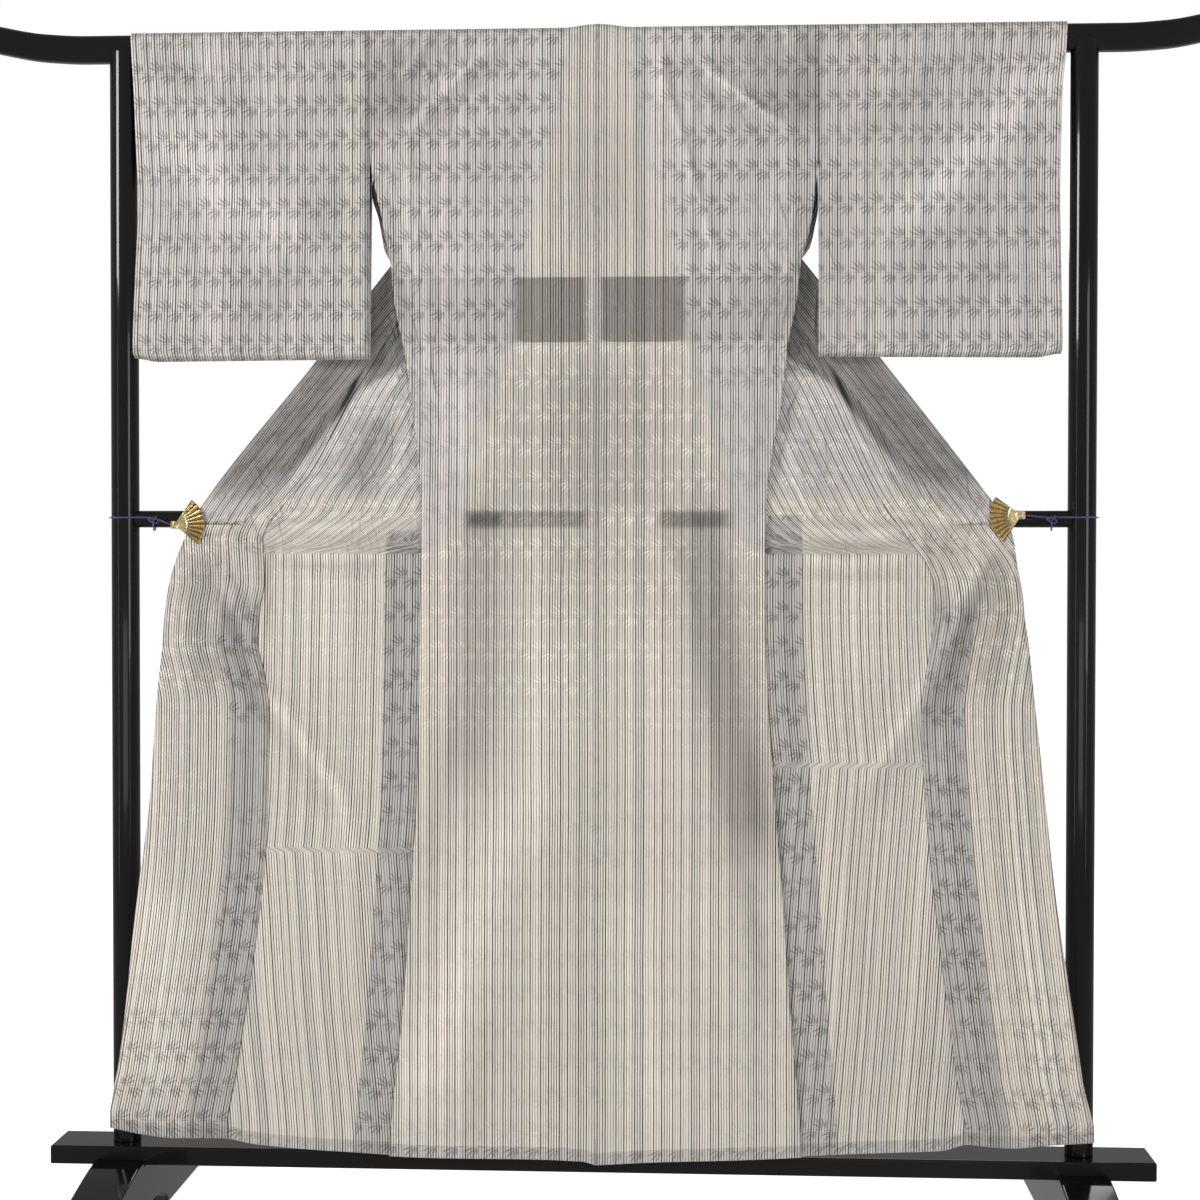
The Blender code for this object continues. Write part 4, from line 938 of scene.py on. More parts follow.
class Paint:
    """A new material with its Principled shader, and the nodes that feed it."""

    def __init__(self, name, roughness, metallic=0.0, coat=0.0, coat_roughness=0.05, sheen=0.0, specular=0.5):
        self.material = bpy.data.materials.new(name)
        self.material.use_nodes = True
        self.tree = self.material.node_tree
        self.shader = self.tree.nodes["Principled BSDF"]
        for key, number in (("Roughness", roughness), ("Metallic", metallic), ("Coat Weight", coat),
                            ("Coat Roughness", coat_roughness), ("Sheen Weight", sheen),
                            ("Specular IOR Level", specular)):
            self.shader.inputs[key].default_value = number

    def node(self, kind, settings=None, *values, out=0):
        made = self.tree.nodes.new(kind)
        for key, setting in (settings or {}).items():
            if key == "stops":
                ramp = made.color_ramp
                while len(ramp.elements) < len(setting):
                    ramp.elements.new(0.5)
                for element, (place_at, colour) in zip(ramp.elements, setting):
                    element.position, element.color = place_at, (*colour, 1.0)
            elif key == "interpolation":
                made.color_ramp.interpolation = setting
            else:
                setattr(made, key, setting)
        self.fill(made, values)
        return Value(self, made.outputs[out])

    def fill(self, made, values):
        sockets = [s for s in made.inputs if s.enabled]
        for socket, given in zip(sockets, values):
            if given is None:
                continue
            if isinstance(given, Value):
                self.tree.links.new(given.socket, socket)
            else:
                socket.default_value = given

    def attribute(self, name):
        return self.node("ShaderNodeAttribute", {"attribute_name": name}, out=2)

    def feed(self, key, given):
        self.tree.links.new(given.socket, self.shader.inputs[key])

    def noise(self, place_at, scale, detail=3.0, roughness=0.5, lacunarity=2.0, distortion=0.0):
        return self.node("ShaderNodeTexNoise", {"noise_dimensions": "3D"}, place_at, scale, detail, roughness,
                         lacunarity, distortion)

    def bump(self, height, strength, distance):
        return self.node("ShaderNodeBump", {}, strength, distance, None, height)

    def mixed(self, amount, one, two):
        return self.node("ShaderNodeMix", {"data_type": "RGBA"}, amount, one, two, out=2)

    def times(self, one, two):
        settings = {"data_type": "RGBA", "blend_type": "MULTIPLY"}
        return self.node("ShaderNodeMix", settings, 1.0, one, two, out=2)

    def random(self, number):
        return self.node("ShaderNodeTexWhiteNoise", {"noise_dimensions": "1D"}, number)

    def ramp(self, stops, amount):
        return self.node("ShaderNodeValToRGB", {"stops": stops}, amount)


# -------------------------------------------------- silk
LINE_REPEAT, LINE_STEP, FINE_LINE = 27.5, 11.5, 3.93        # mm across the cloth
LEAF_ACROSS, LEAF_ALONG, LEAF_SHIFT = 30.0, 50.0, 18.8
# turn, length, half width, root across, root along
LEAVES = [
    (-92, 13.0, 1.15, 0.0, 1.2), (-68, 19.0, 1.4, 0.0, -0.6), (-47, 20.5, 1.5, 1.6, -1.4),
    (-29, 18.5, 1.4, 3.6, -1.0), (-4, 12.0, 1.15, 4.2, -0.6)]
# WARM for single cloth; COOL for doubled cloth, painted cooler and a little darker where less light comes
# through it.
WARM, COOL = (0.565, 0.521, 0.474), (0.530, 0.499, 0.481)
TINTS = [
    (0.0, (1.08, 1.08, 1.06)), (0.2, (1.12, 1.08, 1.05)), (0.4, (0.96, 0.98, 0.95)),
    (0.6, (1.02, 1.00, 0.96)), (0.8, (0.91, 0.93, 0.94))]


def silk():
    """Sheer striped silk with woven leaf sprays; doubled cloth is painted cooler and darker and its leaves
    dark, where less light comes through, with painted fold shade and highlights.
    """
    p = Paint("striped leaf silk", roughness=0.56, sheen=0.18, specular=0.35)
    across, along, _ = split(p, p.node("ShaderNodeUVMap", {"uv_map": "grain"}))
    spot = p.node("ShaderNodeTexCoord", out=3)
    across, along = across * 1000, along * 1000
    wander = p.noise(spot, 2.2, 2.0) - 0.5
    jitter = p.noise(spot, 14.0, 2.0) - 0.5
    across = across + wander * 4.0 + jitter * 1.2

    def line(repeat, shift, half):
        away = (((across + shift) / repeat).part() - 0.5).size() * repeat
        return away.over(half + 0.5, half * 0.4)

    worn = p.noise(spot, 60.0, 2.0)
    dark = (line(LINE_REPEAT, 0.0, 0.78) + line(LINE_REPEAT, LINE_STEP, 0.66)) * (0.75 + 0.5 * worn)
    thread = p.random((across / FINE_LINE).math("FLOOR"))
    depth = p.random((across / FINE_LINE + 0.5).math("FLOOR") + 91.0)
    fine = line(FINE_LINE, 0.0, 0.52) * (0.62 + 0.9 * depth)
    tint = p.node("ShaderNodeValToRGB", {"interpolation": "CONSTANT", "stops": TINTS}, thread)
    mottle = p.noise(spot, 5.0, 3.0) - 0.5

    # leaf sprays in a staggered lattice, every second row turned over; along the hem a row of their own
    row = (along / LEAF_ALONG + 0.312).part() * LEAF_ALONG
    second = row.over(24.9, 25.1)
    y = row - 15.6 - second * LEAF_SHIFT
    x = ((across + second * (LEAF_ACROSS / 2) + along * 0.03) / LEAF_ACROSS).part() * LEAF_ACROSS - 21.5
    past_hem = p.attribute("hem")
    y = y * (1 - 2 * second) - 8.0
    y = y + (1.0 - past_hem - y) * past_hem.over(-0.7, 0.7)
    spray = None
    for turn, length, half, root_x, root_y in LEAVES:
        s, c = math.sin(math.radians(turn)), math.cos(math.radians(turn))
        run = ((x - root_x) * s - (y - root_y) * c) / length
        off = ((x - root_x) * c + (y - root_y) * s).size()
        leaf = (run * (1 - run) * (4 * half) - off).over(-0.3, 0.3)
        spray = leaf if spray is None else spray.math("MAXIMUM", leaf)
    thread_cut = 0.72 + 0.28 * line(1.9, 0.0, 0.4)
    spray = spray * thread_cut * p.noise(spot, 9.0, 1.0).over(0.15, 0.55)

    slanted = p.node("ShaderNodeMapping", {}, spot, None, (0.0, 0.5, 0.0), (1.0, 1.0, 0.4))
    folds = (p.noise(slanted, 26.0, 2.0, 0.5, 2.0, 0.9) - 0.5).size().over(0.10, 0.0)
    creased = folds * (0.22 + p.attribute("crinkle")).math("MINIMUM", 1.0)
    layers = p.attribute("layers").over(-7.0, 7.0)
    strip = p.attribute("strip").over(-0.8, 0.8)
    tuck = p.attribute("tuck").over(-1.0, 1.0)
    tuck_dark = p.attribute("tuckdark").over(-1.5, 1.5)
    band = p.attribute("railband").over(-4.0, 4.0)
    hem = past_hem.over(-0.7, 0.7)
    # painted shade and highlights along the folds
    tone = p.attribute("tone")
    leaf_painted_sheen = p.attribute("leaf")

    doubled = strip.math("MAXIMUM", hem)
    # The leaves painted light or dark, standing in for their sheen and the light through the cloth; dark in
    # doubled places.
    leaf_painted_dark = (0 - leaf_painted_sheen).over(0.0, 1.0).math("MAXIMUM", doubled.math("MAXIMUM", tuck_dark * 0.5))
    leaf_painted_light = leaf_painted_sheen.over(0.0, 1.0) * (1 - doubled)
    # Painted shading: fold shade and highlights from the strokes, and doubled places (seam strips, tuck, hem)
    # and the middle rail behind the back painted darker where less light comes through; the mottle is random,
    # the stripes and leaves are the cloth's pattern.
    shade_and_pattern = (1.0 + tone) * (1 - 0.22 * strip) * (1 - 0.13 * tuck) * (1 - 0.50 * tuck_dark) * (1 - 0.38 * band)
    shade_and_pattern = shade_and_pattern * (1 - 0.18 * hem) * (1 + 0.14 * mottle)
    shade_and_pattern = shade_and_pattern * (1 - dark * 0.72) * (1 - 0.78 * fine)
    shade_and_pattern = shade_and_pattern * (1 + spray * (0.42 * leaf_painted_light - 0.44 * leaf_painted_dark - 0.05 * (1 - leaf_painted_light)))
    shade_and_pattern = shade_and_pattern.math("MINIMUM", 1.5)

    # doubled cloth painted in the cooler ground colour
    ground = p.times(p.mixed(layers.math("MAXIMUM", doubled), WARM + (1,), COOL + (1,)), tint)
    grey = p.node("ShaderNodeCombineColor", {}, shade_and_pattern, shade_and_pattern * (1 - 0.05 * dark), shade_and_pattern * (1 - 0.13 * dark))
    p.feed("Base Color", p.times(ground, grey))

    long_grain = p.node("ShaderNodeMapping", {}, spot, None, None, (1.0, 1.0, 0.16))
    crease = p.noise(long_grain, 95.0, 3.0, 0.6)
    pucker = p.noise(spot, 26.0, 4.0, 0.6)
    height = crease * 0.5 + pucker * 0.8 + dark * 0.2 + creased * 0.8 - spray * 0.12
    p.feed("Normal", p.bump(height, 0.9, 0.0034))
    return p.material


def split(p, vector):
    """The three numbers of a vector."""
    made = p.tree.nodes.new("ShaderNodeSeparateXYZ")
    p.tree.links.new(vector.socket, made.inputs[0])
    return [Value(p, made.outputs[k]) for k in range(3)]


# -------------------------------------------------- lacquer, gilt and cord
def lacquer():
    """Near-black lacquer with a thin clear coat."""
    p = Paint("black lacquer", roughness=0.12, coat=0.22, coat_roughness=0.03, specular=0.18)
    spot = p.node("ShaderNodeTexCoord", out=3)
    slow = p.noise(spot, 3.0, 2.0)
    p.feed("Base Color", p.ramp([(0.3, (0.0035, 0.0032, 0.0036)), (0.7, (0.007, 0.006, 0.007))], slow))
    dust = p.noise(spot, 220.0, 2.0)
    p.feed("Roughness", 0.08 + 0.10 * dust * slow)
    p.feed("Normal", p.bump(p.noise(spot, 9.0, 2.0), 0.08, 0.002))
    return p.material


def gilt():
    """Polished gilt, darker in the fan's hollows."""
    p = Paint("gilt brass", roughness=0.22, metallic=1.0)
    spot = p.node("ShaderNodeTexCoord", out=3)
    wear = p.noise(spot, 240.0, 4.0)
    plain = p.ramp([(0.3, (0.72, 0.53, 0.24)), (0.6, (0.92, 0.77, 0.45))], wear)
    p.feed("Base Color", p.mixed(p.attribute("hollow"), plain, (0.10, 0.05, 0.015, 1)))
    p.feed("Roughness", 0.18 + 0.16 * wear)
    p.feed("Normal", p.bump(p.noise(spot, 700.0, 2.0), 0.06, 0.0002))
    return p.material


def cord_paint():
    """Twisted purple cord."""
    p = Paint("purple cord", roughness=0.62, sheen=0.4)
    spot = p.node("ShaderNodeTexCoord", out=3)
    x, y, z = split(p, spot)
    twist = (x * 900 + z * 700 + y * 500).part()
    groove = (twist - 0.5).size().over(0.12, 0.42)
    p.feed("Base Color", p.ramp([(0.0, (0.016, 0.008, 0.075)), (1.0, (0.045, 0.018, 0.16))], groove))
    p.feed("Normal", p.bump(groove, 0.6, 0.0005))
    return p.material


# -------------------------------------------------- stand
def solid(name, rings, paint, smooth_angle=35):
    """A solid through rings of equal point count with flat ends, in millimetres."""
    n = len(rings[0])
    points = [p for ring in rings for p in ring]
    faces = [[r * n + c, r * n + (c + 1) % n, (r + 1) * n + (c + 1) % n, (r + 1) * n + c]
             for r in range(len(rings) - 1) for c in range(n)]
    faces += [list(range(n))[::-1], [len(points) - n + c for c in range(n)]]
    return mesh_piece(name, points, faces, paint, smooth_angle)


def mesh_piece(name, points, faces, paint, smooth_angle=35):
    """A merged mesh from points in millimetres, its normals outward, smooth below the angle."""
    mesh = bpy.data.meshes.new(name)
    mesh.from_pydata([(x * MM, y * MM, z * MM) for x, y, z in points], [], faces)
    tidy = bmesh.new()
    tidy.from_mesh(mesh)
    bmesh.ops.remove_doubles(tidy, verts=tidy.verts, dist=0.00002)
    bmesh.ops.recalc_face_normals(tidy, faces=tidy.faces)
    tidy.to_mesh(mesh)
    tidy.free()
    mesh.materials.append(paint)
    for face in mesh.polygons:
        face.use_smooth = True
    mesh.set_sharp_from_angle(angle=math.radians(smooth_angle))
    made = bpy.data.objects.new(name, mesh)
    bpy.context.scene.collection.objects.link(made)
    return made


def section(deep, high, rounding, steps=8):
    """A rounded rectangle, (depth, height) pairs about its middle."""
    ring = []
    for sy, sz, start in ((1, 1, 0), (-1, 1, 90), (-1, -1, 180), (1, -1, 270)):
        for k in range(steps + 1):
            angle = math.radians(start + 90 * k / steps)
            ring.append((sy * (deep / 2 - rounding) + rounding * math.cos(angle),
                         sz * (high / 2 - rounding) + rounding * math.sin(angle)))
    return ring


def bevelled(made, width, segments=3, angle=30):
    edge = made.modifiers.new("edge", "BEVEL")
    edge.width, edge.segments, edge.limit_method = width * MM, segments, "ANGLE"
    edge.angle_limit = math.radians(angle)
    edge.harden_normals = True
    return made


def make_rail(paint):
    """The long top rail, its ends rising and rounded off."""
    outs = [0, 300, 600, 700] + [720 + 8.0 * k for k in range(28)] + [946, 951]
    stations = [-o for o in outs[:0:-1]] + outs
    rings = []
    for x, small in [(-955, 4.0), (-954, 2.0)] + [(x, 0.0) for x in stations] + [(954, 2.0), (955, 4.0)]:
        rise = table(RAIL_RISE, 1, abs(x))
        rings.append([(x, y, RAIL_Z + rise + z) for y, z in
                      section(RAIL_DEEP - 2 * small, RAIL_HIGH - 2 * small, RAIL_ROUND + 3 - small * 0.6)])
    return solid("lacquered_top_rail", rings, paint)


def circle(x, y, z, radius, count=48):
    return [(x + radius * math.cos(math.tau * k / count), y + radius * math.sin(math.tau * k / count), z)
            for k in range(count)]


def make_post(side, paint):
    """A round post with a slot at its head for the top rail."""
    x, head = SIDES[side] * POST_X, RAIL_Z - 2
    made = solid(f"lacquered_post_{side}", [circle(x, 0, z, r) for z, r in (
        (BEAM_TOP + GAP, POST_R - 0.8), (BEAM_TOP + GAP + 0.8, POST_R), (900, POST_R), (head - 4, POST_R),
        (head - 1.4, POST_R - 0.8), (head - 0.4, POST_R - 2), (head, POST_R - 3.4))], paint)
    slot = section(RAIL_DEEP + 2 * GAP, RAIL_HIGH + 2 * GAP + 60, RAIL_ROUND)
    fork = solid("fork", [[(x + s, y, z + RAIL_Z + 30) for y, z in slot] for s in (-40, 40)], paint)
    take = made.modifiers.new("cut", "BOOLEAN")
    take.operation, take.solver, take.object = "DIFFERENCE", "EXACT", fork
    done = bpy.data.meshes.new_from_object(made.evaluated_get(bpy.context.evaluated_depsgraph_get()))
    made.modifiers.clear()
    made.data = done
    bpy.data.objects.remove(fork, do_unlink=True)
    done.set_sharp_from_angle(angle=math.radians(35))
    return made


def make_brace(paint):
    """The round middle rail, its ends hollowed to lie against the posts."""
    rings = []
    for x, bite in [(-POST_X, 1)] + [(s, 0) for s in (-600, -300, 0, 300, 600)] + [(POST_X, 1)]:
        ring = []
        for k in range(40):
            a = math.tau * k / 40
            y = BRACE_R * math.cos(a)
            shy = math.sqrt((POST_R + GAP) ** 2 - y * y) if bite else 0.0
            ring.append((x - math.copysign(shy, x) if bite else x, y, BRACE_Z + BRACE_R * math.sin(a)))
        rings.append(ring)
    return solid("lacquered_middle_rail", rings, paint)


def make_beam(paint):
    """The flat base beam between the feet."""
    deep, middle, high = BEAM_DEEP / 2, (BEAM_LOW + BEAM_TOP) / 2, (BEAM_TOP - BEAM_LOW) / 2
    rings = [[(x, y, middle + z) for y, z in ((deep, -high), (deep, high), (-deep, high), (-deep, -high))]
             for x in (-BEAM_X, BEAM_X)]
    return bevelled(solid("lacquered_base_beam", rings, paint), 3.0)


def smooth_line(points, count):
    """Even points on a soft curve through the given ones."""
    fine = []
    padded = [points[0]] + list(points) + [points[-1]]
    for i in range(1, len(padded) - 2):
        p0, p1, p2, p3 = (np.array(padded[i + k], dtype=float) for k in (-1, 0, 1, 2))
        for k in range(count):
            t = k / count
            fine.append(tuple(0.5 * ((2 * p1) + (p2 - p0) * t + (2 * p0 - 5 * p1 + 4 * p2 - p3) * t * t
                                     + (3 * p1 - p0 - 3 * p2 + p3) * t ** 3)))
    return fine + [tuple(float(v) for v in points[-1])]


def make_foot(side, paint):
    """A foot arched under its middle, running front to back."""
    x = SIDES[side] * POST_X
    top = smooth_line(FOOT_TOP[:-1], 4) + [(290, 0)]
    under = [(95, 0)] + smooth_line([(92, 4), (80, 16), (55, 27), (20, 31), (0, 31)], 4)
    half = [(0, BEAM_LOW - GAP), (41.4, BEAM_LOW - GAP)] + top + under
    profile = half + [(-y, z) for y, z in reversed(half[1:-1])]
    rings = [[(x + s, y, z) for y, z in profile] for s in (-FOOT_WIDE / 2, FOOT_WIDE / 2)]
    return bevelled(solid(f"lacquered_foot_{side}", rings, paint, 25), 3.0, 3, 40)


# -------------------------------------------------- clips
CLIP_AT = {"left": (625.0, 1044.0), "right": (614.0, 1058.0)}
FAN_REACH, FAN_SPREAD, FAN_RIBS = 45.0, (-42.0, 52.0), 9
FAN_TURN = {"left": 3.0, "right": -16.0}
FAN_OFF, FAN_WALL = 1.8, 0.9                     # its back before the jaw's cloth side; its thickness


def clip_front(side):
    """Depth of the near jaw's side that faces the cloth."""
    return table(DEPTH, FREE, CLIP_AT[side][1]) - HALF_WALL - GAP - HALF_WALL


def make_fan(side, paint):
    """A pleated fan: raised ribs between hollows, a ridge round its hub, a scalloped rim."""
    sign = SIDES[side]
    cx, cz = CLIP_AT[side]
    front = clip_front(side)
    low, high = FAN_SPREAD
    steps = FAN_RIBS * 8
    radii = [7.0, 9.0, 14.0, 16.0, 17.0, 18.0, 19.0, 20.5, 28.0, 36.0, 42.0, 44.0, 45.0]
    points = []
    for face in (0, 1):
        for radius in radii:
            for k in range(steps + 1):
                angle = math.radians(low + (high - low) * k / steps + FAN_TURN[side])
                wave = 0.5 - 0.5 * math.cos(math.tau * k / 8)
                rib = max(0.0, 1 - abs((k % 8) - 4) / 2.4) ** 0.7
                ridge = math.exp(-((radius - 17.5) / 1.3) ** 2) * 1.3
                rise = (2.5 * rib + 0.2 * wave) * ease((radius - 18) / 6) * (0.55 + 0.45 * radius / FAN_REACH)
                hub = 0.9 * ease((16 - radius) / 6)
                reach = radius + (0.9 * rib if radius > 41 else 0.0)
                y = front - FAN_OFF - (ridge + rise + hub) * (1.0 if face else 0.15)
                y -= FAN_WALL if face else 0.0
                if face and radius in (radii[0], radii[-1]):
                    y += FAN_WALL / 2
                points.append((sign * (cx - reach * math.cos(angle)), y, cz + reach * math.sin(angle)))
    n = steps + 1

    def at(face, r, k):
        return (face * len(radii) + r) * n + k

    faces = []
    for r in range(len(radii) - 1):
        for k in range(steps):
            faces.append([at(0, r, k), at(0, r, k + 1), at(0, r + 1, k + 1), at(0, r + 1, k)])
            faces.append([at(1, r, k), at(1, r + 1, k), at(1, r + 1, k + 1), at(1, r, k + 1)])
        faces.append([at(0, r, 0), at(0, r + 1, 0), at(1, r + 1, 0), at(1, r, 0)])
        faces.append([at(0, r, steps), at(1, r, steps), at(1, r + 1, steps), at(0, r + 1, steps)])
    last = len(radii) - 1
    for k in range(steps):
        faces.append([at(0, 0, k), at(1, 0, k), at(1, 0, k + 1), at(0, 0, k + 1)])
        faces.append([at(0, last, k), at(0, last, k + 1), at(1, last, k + 1), at(1, last, k)])
    made = mesh_piece(f"gilt_fan_{side}", points, faces, paint, 32)
    shaded = made.data.attributes.new("hollow", "FLOAT", "POINT")
    centre = np.array([sign * cx, cz])
    for i, vertex in enumerate(made.data.vertices):
        away = np.array([vertex.co.x, vertex.co.z]) / MM - centre
        reach, turn = math.hypot(*away), math.degrees(math.atan2(away[1], -sign * away[0])) - FAN_TURN[side]
        rib = abs(((turn - low) / (high - low) * FAN_RIBS) % 1.0 - 0.5) * 2
        hollow = 0.85 * ease((rib - 0.45) / 0.4) * ease((reach - 20) / 4)
        shaded.data[i].value = hollow + 0.5 * ease(1 - abs(reach - 20.5) / 1.6)
    return made


def stick_tree(paint):
    """Round sticks set out evenly round a fan's pivot, each leaning a little towards the viewer."""
    tree = bpy.data.node_groups.new("fan_sticks", "GeometryNodeTree")
    tree.is_modifier = True
    kinds = {"Count": "Int", "First turn": "Float", "Turn between": "Float", "Lean": "Float",
             "Start": "Float", "Length": "Float", "Thin end": "Float", "Thick end": "Float", "Pivot": "Vector"}
    sizes = {name: tree.interface.new_socket(name=name, in_out="INPUT", socket_type=f"NodeSocket{kind}")
             for name, kind in kinds.items()}
    tree.interface.new_socket(name="Geometry", in_out="OUTPUT", socket_type="NodeSocketGeometry")
    given = tree.nodes.new("NodeGroupInput").outputs

    def node(kind, values=None, **settings):
        """A node with its settings, then the values or links of its sockets by name or number."""
        made = tree.nodes.new(kind)
        for key, setting in settings.items():
            setattr(made, key, setting)
        for key, value in (values or {}).items():
            if isinstance(value, bpy.types.NodeSocket):
                tree.links.new(value, made.inputs[key])
            else:
                made.inputs[key].default_value = value
        return made.outputs[0]

    stick = node("GeometryNodeMeshCone", {"Vertices": 12, "Radius Bottom": given["Thin end"],
                                          "Radius Top": given["Thick end"], "Depth": given["Length"]})
    out = node("ShaderNodeCombineXYZ", {"Z": given["Start"]})
    stick = node("GeometryNodeTransform", {"Geometry": stick, "Translation": out})
    spots = node("GeometryNodeMeshLine", {"Count": given["Count"], "Offset": (0.0, 0.0, 0.0)})
    index = node("GeometryNodeInputIndex")
    turned = node("ShaderNodeMath", {0: index, 1: given["Turn between"], 2: given["First turn"]},
                  operation="MULTIPLY_ADD")
    way = node("ShaderNodeCombineXYZ", {"X": given["Lean"], "Y": turned})
    sticks = node("GeometryNodeInstanceOnPoints", {"Points": spots, "Instance": stick, "Rotation": way})
    sticks = node("GeometryNodeRealizeInstances", {"Geometry": sticks})
    sticks = node("GeometryNodeTransform", {"Geometry": sticks, "Translation": given["Pivot"]})
    sticks = node("GeometryNodeSetMaterial", {"Geometry": sticks, "Material": paint})
    end = tree.nodes.new("NodeGroupOutput")
    tree.links.new(sticks, end.inputs[0])
    return tree, {name: socket.identifier for name, socket in sizes.items()}


def make_sticks(side, tree, names):
    """The fan's gilt sticks, one along each pleat's crest."""
    sign = SIDES[side]
    cx, cz = CLIP_AT[side]
    low, high = FAN_SPREAD
    crest = clip_front(side) - FAN_OFF - FAN_WALL
    between = math.radians((high - low) / FAN_RIBS)
    first = math.radians(low + FAN_TURN[side]) + between / 2 - math.pi / 2
    sizes = {"Count": FAN_RIBS, "First turn": sign * first, "Turn between": sign * between, "Lean": 0.045,
             "Start": 22.5 * MM, "Length": 22.0 * MM, "Thin end": 0.45 * MM, "Thick end": 0.75 * MM,
             "Pivot": (sign * cx * MM, (crest - 1.9) * MM, cz * MM)}
    made = bpy.data.objects.new(f"sticks_{side}", bpy.data.meshes.new(f"sticks_{side}"))
    bpy.context.scene.collection.objects.link(made)
    grown = made.modifiers.new("sticks", "NODES")
    grown.node_group = tree
    for name, size in sizes.items():
        grown[names[name]] = size
    bpy.context.view_layer.update()
    seen = made.evaluated_get(bpy.context.evaluated_depsgraph_get())
    mesh = bpy.data.meshes.new_from_object(seen)
    made.modifiers.remove(grown)
    made.data = mesh
    made.name = mesh.name = f"gilt_sticks_{side}"
    return made


def make_ring(name, centre, radius, thick, paint):
    """A small ring facing the viewer of the back."""
    cx, cy, cz = centre
    points, faces, n, m = [], [], 32, 12
    for i in range(n):
        a = math.tau * i / n
        for j in range(m):
            b = math.tau * j / m
            r = radius + thick * math.cos(b)
            points.append((cx + r * math.cos(a), cy + thick * math.sin(b), cz + r * math.sin(a)))
    for i in range(n):
        for j in range(m):
            faces.append([i * m + j, i * m + (j + 1) % m, (i + 1) % n * m + (j + 1) % m, (i + 1) % n * m + j])
    return mesh_piece(name, points, faces, paint, 60)


def make_jaw(side, paint):
    """The clip's two leaves and the spring end that joins them, shut on the cloth's edge."""
    sign = SIDES[side]
    cx, cz = CLIP_AT[side]
    front = clip_front(side)
    y0, y1 = front - 1.5, front
    inner, outer = cx - 30, cx + 6
    rear = front + 2 * (HALF_WALL + GAP) + 2 * HALF_WALL
    jaw = [(outer, y0), (inner, y0), (inner, y1), (outer - 7, y1), (outer - 4, y1 + 1.0),
           (outer - 4, rear - 1.0), (outer - 7, rear), (inner, rear), (inner, rear + 1.2), (outer, rear + 1.2)]
    rings = [[(sign * x, y, cz + h) for x, y in jaw] for h in (-5.5, 5.5)]
    return bevelled(solid(f"gilt_jaw_{side}", rings, paint), 0.35, 2)


# -------------------------------------------------- cords
CORD_THICK = 2.2


def cord_route(side):
    """From the clip to the post, once round it, and down to the knot."""
    cx, cz = CLIP_AT[side]
    r, z = POST_R + 2.2, BRACE_Z + 2
    front, rise = table(DEPTH, FREE, cz), BRACE_Z + 2 - cz
    path = [(cx + 8, front - 0.3, cz + rise * 0.1), (cx + 18, front + 0.2, cz + rise * 0.45),
            (cx + 29, -18.4, cz + rise * 0.85), (cx + 40, -17.0, z), (POST_X - 34, -16.8, z),
            (POST_X - 21, -19.3, z)]
    for k in range(11):
        angle = math.radians(-120 + 240 * k / 10)
        path.append((POST_X + r * math.cos(angle), r * math.sin(angle), z))
    path += [(POST_X - inside, y, z - drop) for inside, y, drop in (
        (22, 17.5, 0), (36, 15.6, 2), (41, 14.4, 8), (43, 7, 17.0), (44, 0, 18.6), (45, -8, 18.0),
        (46, -15.5, 10), (47, -17.6, 5))]
    return [(SIDES[side] * x * MM, y * MM, zz * MM) for x, y, zz in path]


def tube(name, route, thick, paint, cyclic=False):
    data = bpy.data.curves.new(name, "CURVE")
    data.dimensions, data.bevel_depth, data.bevel_resolution = "3D", thick * MM / 2, 4
    data.use_fill_caps = not cyclic
    line = data.splines.new("POLY")
    line.points.add(len(route) - 1)
    line.use_cyclic_u = cyclic
    for point, place_at in zip(line.points, route):
        point.co = (*place_at, 1.0)
    data.materials.append(paint)
    made = bpy.data.objects.new(name, data)
    bpy.context.scene.collection.objects.link(made)
    return made


def make_cord(side, paint):
    route = smooth_line(cord_route(side), 4)
    line = tube(f"purple_cord_{side}", route, CORD_THICK, paint)
    x, y, z = cord_route(side)[-1]
    loops = []
    for k in range(90):
        a = math.tau * k / 90
        loops.append((x + (5.5 * math.sin(2 * a) + 2.4 * math.cos(3 * a)) * MM,
                      y + (-2.6 + 2.4 * math.cos(3 * a + 0.6)) * MM,
                      z + (3.0 * math.cos(a) + 2.4 * math.sin(3 * a) + 1.5) * MM))
    knot = tube(f"cord_knot_{side}", loops, CORD_THICK * 0.8, paint, True)
    length = sum(math.dist(a, b) for a, b in zip(route, route[1:]))
    return line, knot, route[0], length


# -------------------------------------------------- stage and lights
# name, place, aim, width, height, watts
LAMPS = [("key", (-3.0, -2.5, 3.0), (0, 0, 0.95), 1.2, 1.2, 98),
         ("fill", (3.0, -3.4, 1.6), (0, 0, 0.9), 1.4, 2.0, 34),
         ("behind", (0.4, 3.2, 2.6), (0, 0, 1.0), 2.2, 1.4, 30),
         ("low", (0.0, -3.6, 0.5), (0, 0, 0.8), 2.4, 0.6, 8),
         ("left strip", (-4.2, -3.2, 1.1), (-0.7, 0, 1.0), 0.14, 2.6, 9),
         ("right strip", (3.6, -4.2, 1.1), (0.7, 0, 1.0), 0.14, 2.6, 8)]


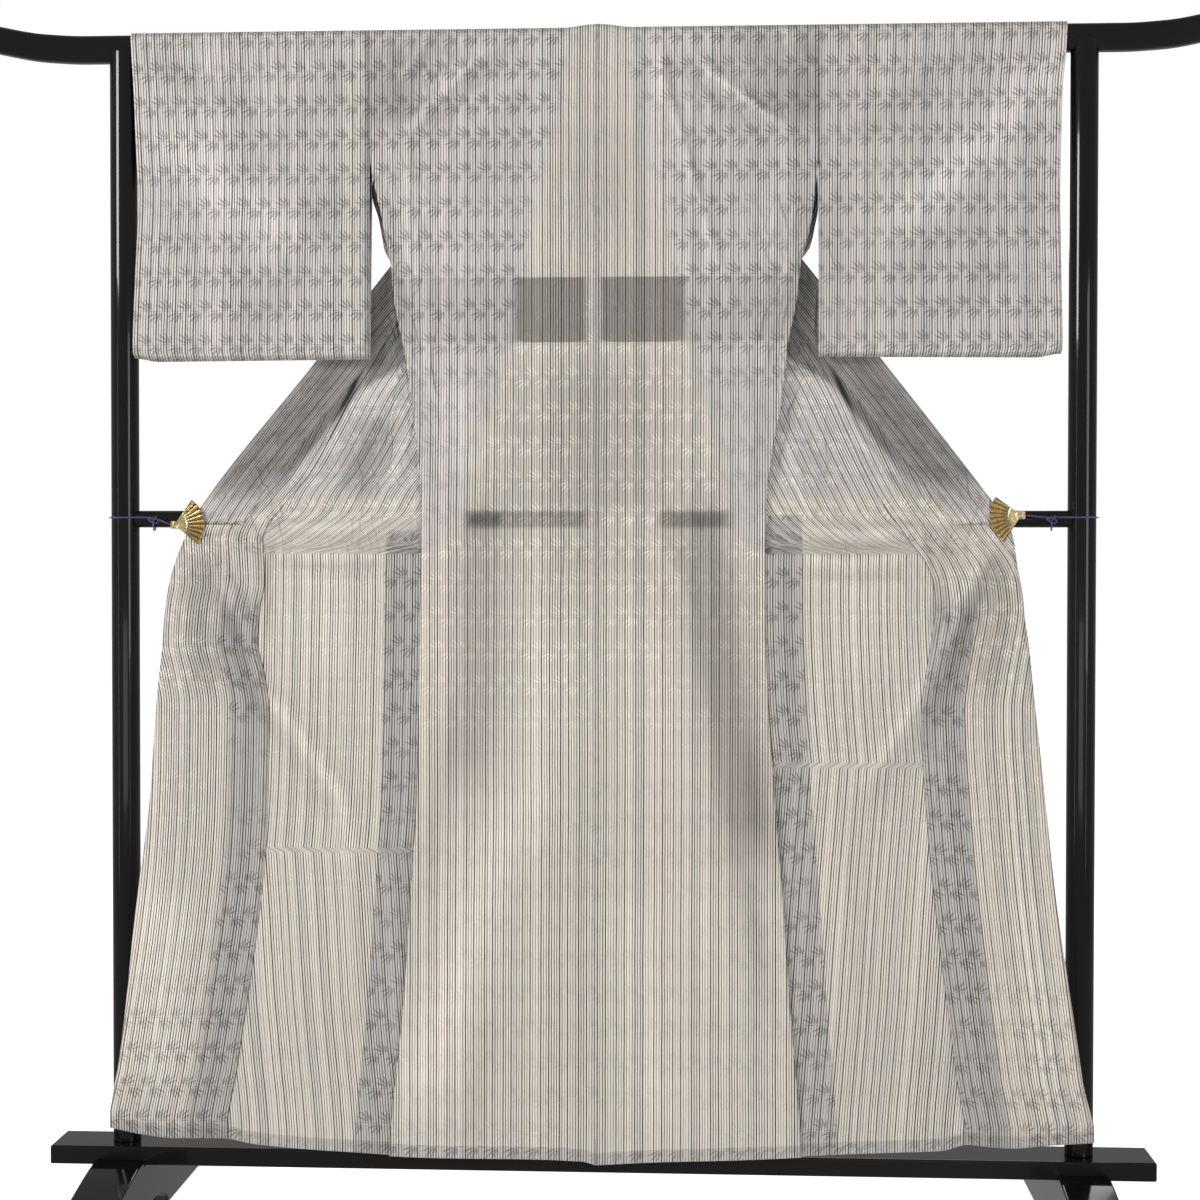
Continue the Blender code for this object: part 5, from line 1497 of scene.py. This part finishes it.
def make_stage():
    world = bpy.data.worlds.new("studio")
    bpy.context.scene.world = world
    world.use_nodes = True
    tree = world.node_tree
    out = tree.nodes["World Output"]
    around = tree.nodes["Background"]
    around.inputs["Color"].default_value = (1, 1, 1, 1)
    around.inputs["Strength"].default_value = 0.36
    seen = tree.nodes.new("ShaderNodeBackground")
    seen.inputs["Strength"].default_value = 1.0
    seen.inputs["Color"].default_value = (1, 1, 1, 1)
    rays, mix = tree.nodes.new("ShaderNodeLightPath"), tree.nodes.new("ShaderNodeMixShader")
    tree.links.new(rays.outputs["Is Camera Ray"], mix.inputs[0])
    tree.links.new(around.outputs[0], mix.inputs[1])
    tree.links.new(seen.outputs[0], mix.inputs[2])
    tree.links.new(mix.outputs[0], out.inputs["Surface"])
    mesh = bpy.data.meshes.new("floor")
    mesh.from_pydata([(-14, -8, 0), (14, -8, 0), (14, 22, 0), (-14, 22, 0)], [], [[0, 1, 2, 3]])
    floor = bpy.data.objects.new("floor", mesh)
    bpy.context.scene.collection.objects.link(floor)
    pale = Paint("pale floor", roughness=0.9, specular=0.1)
    pale.shader.inputs["Base Color"].default_value = (0.86, 0.86, 0.86, 1)
    pale.shader.inputs["Emission Color"].default_value = (1, 1, 1, 1)
    pale.shader.inputs["Emission Strength"].default_value = 0.78
    mesh.materials.append(pale.material)
    floor.visible_glossy = False
    for name, at, aim, wide, tall, watts in LAMPS:
        data = bpy.data.lights.new(name, "AREA")
        data.shape, data.size, data.size_y, data.energy = "RECTANGLE", wide, tall, watts
        lamp = bpy.data.objects.new(name, data)
        lamp.location = at
        run = [b - a for a, b in zip(at, aim)]
        lamp.rotation_euler = (math.atan2(math.hypot(run[0], run[1]), -run[2]), 0,
                               math.atan2(run[1], run[0]) - math.pi / 2)
        bpy.context.scene.collection.objects.link(lamp)
    bpy.context.scene.view_settings.view_transform = "Standard"


# -------------------------------------------------- make everything
def own(made, finish, *nodes):
    """Rides on the one body and hides its nodes; its finish is not used."""
    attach(made, "root")
    if nodes:
        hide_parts(*nodes)
    return made


def make_all():
    cloth, black, gold, purple = silk(), lacquer(), gilt(), cord_paint()
    sticks, stick_sizes = stick_tree(gold)
    for side in SIDES:
        line, knot, start, length = make_cord(side, purple)
        own(line, "cord", f"cord_{side}")
        own(knot, "cord")
        own(make_body(side, cloth), "silk", f"body_{side}")
        own(make_okumi(side, cloth), "silk", f"okumi_{side}")
        own(make_sleeve(side, cloth), "silk", f"sleeve_{side}")
        own(make_post(side, black), "lacquer", f"post_{side}")
        own(make_foot(side, black), "lacquer", f"foot_{side}")
        own(make_fan(side, gold), "gilt", f"fan_{side}")
        own(make_sticks(side, sticks, stick_sizes), "gilt")
        own(make_jaw(side, gold), "gilt", f"jaw_{side}")
        cx, cz = CLIP_AT[side]
        pivot = (SIDES[side] * (cx - 2), table(DEPTH, FREE, cz) - 4.2, cz)
        own(make_ring(f"gilt_pivot_{side}", pivot, 4.2, 1.3, gold), "gilt")
    own(make_collar(cloth), "silk", "collar")
    own(make_rail(black), "lacquer", "top_rail")
    own(make_brace(black), "lacquer", "middle_rail")
    own(make_beam(black), "lacquer", "base_beam")


make_stage()
make_all()
bpy.context.view_layer.update()
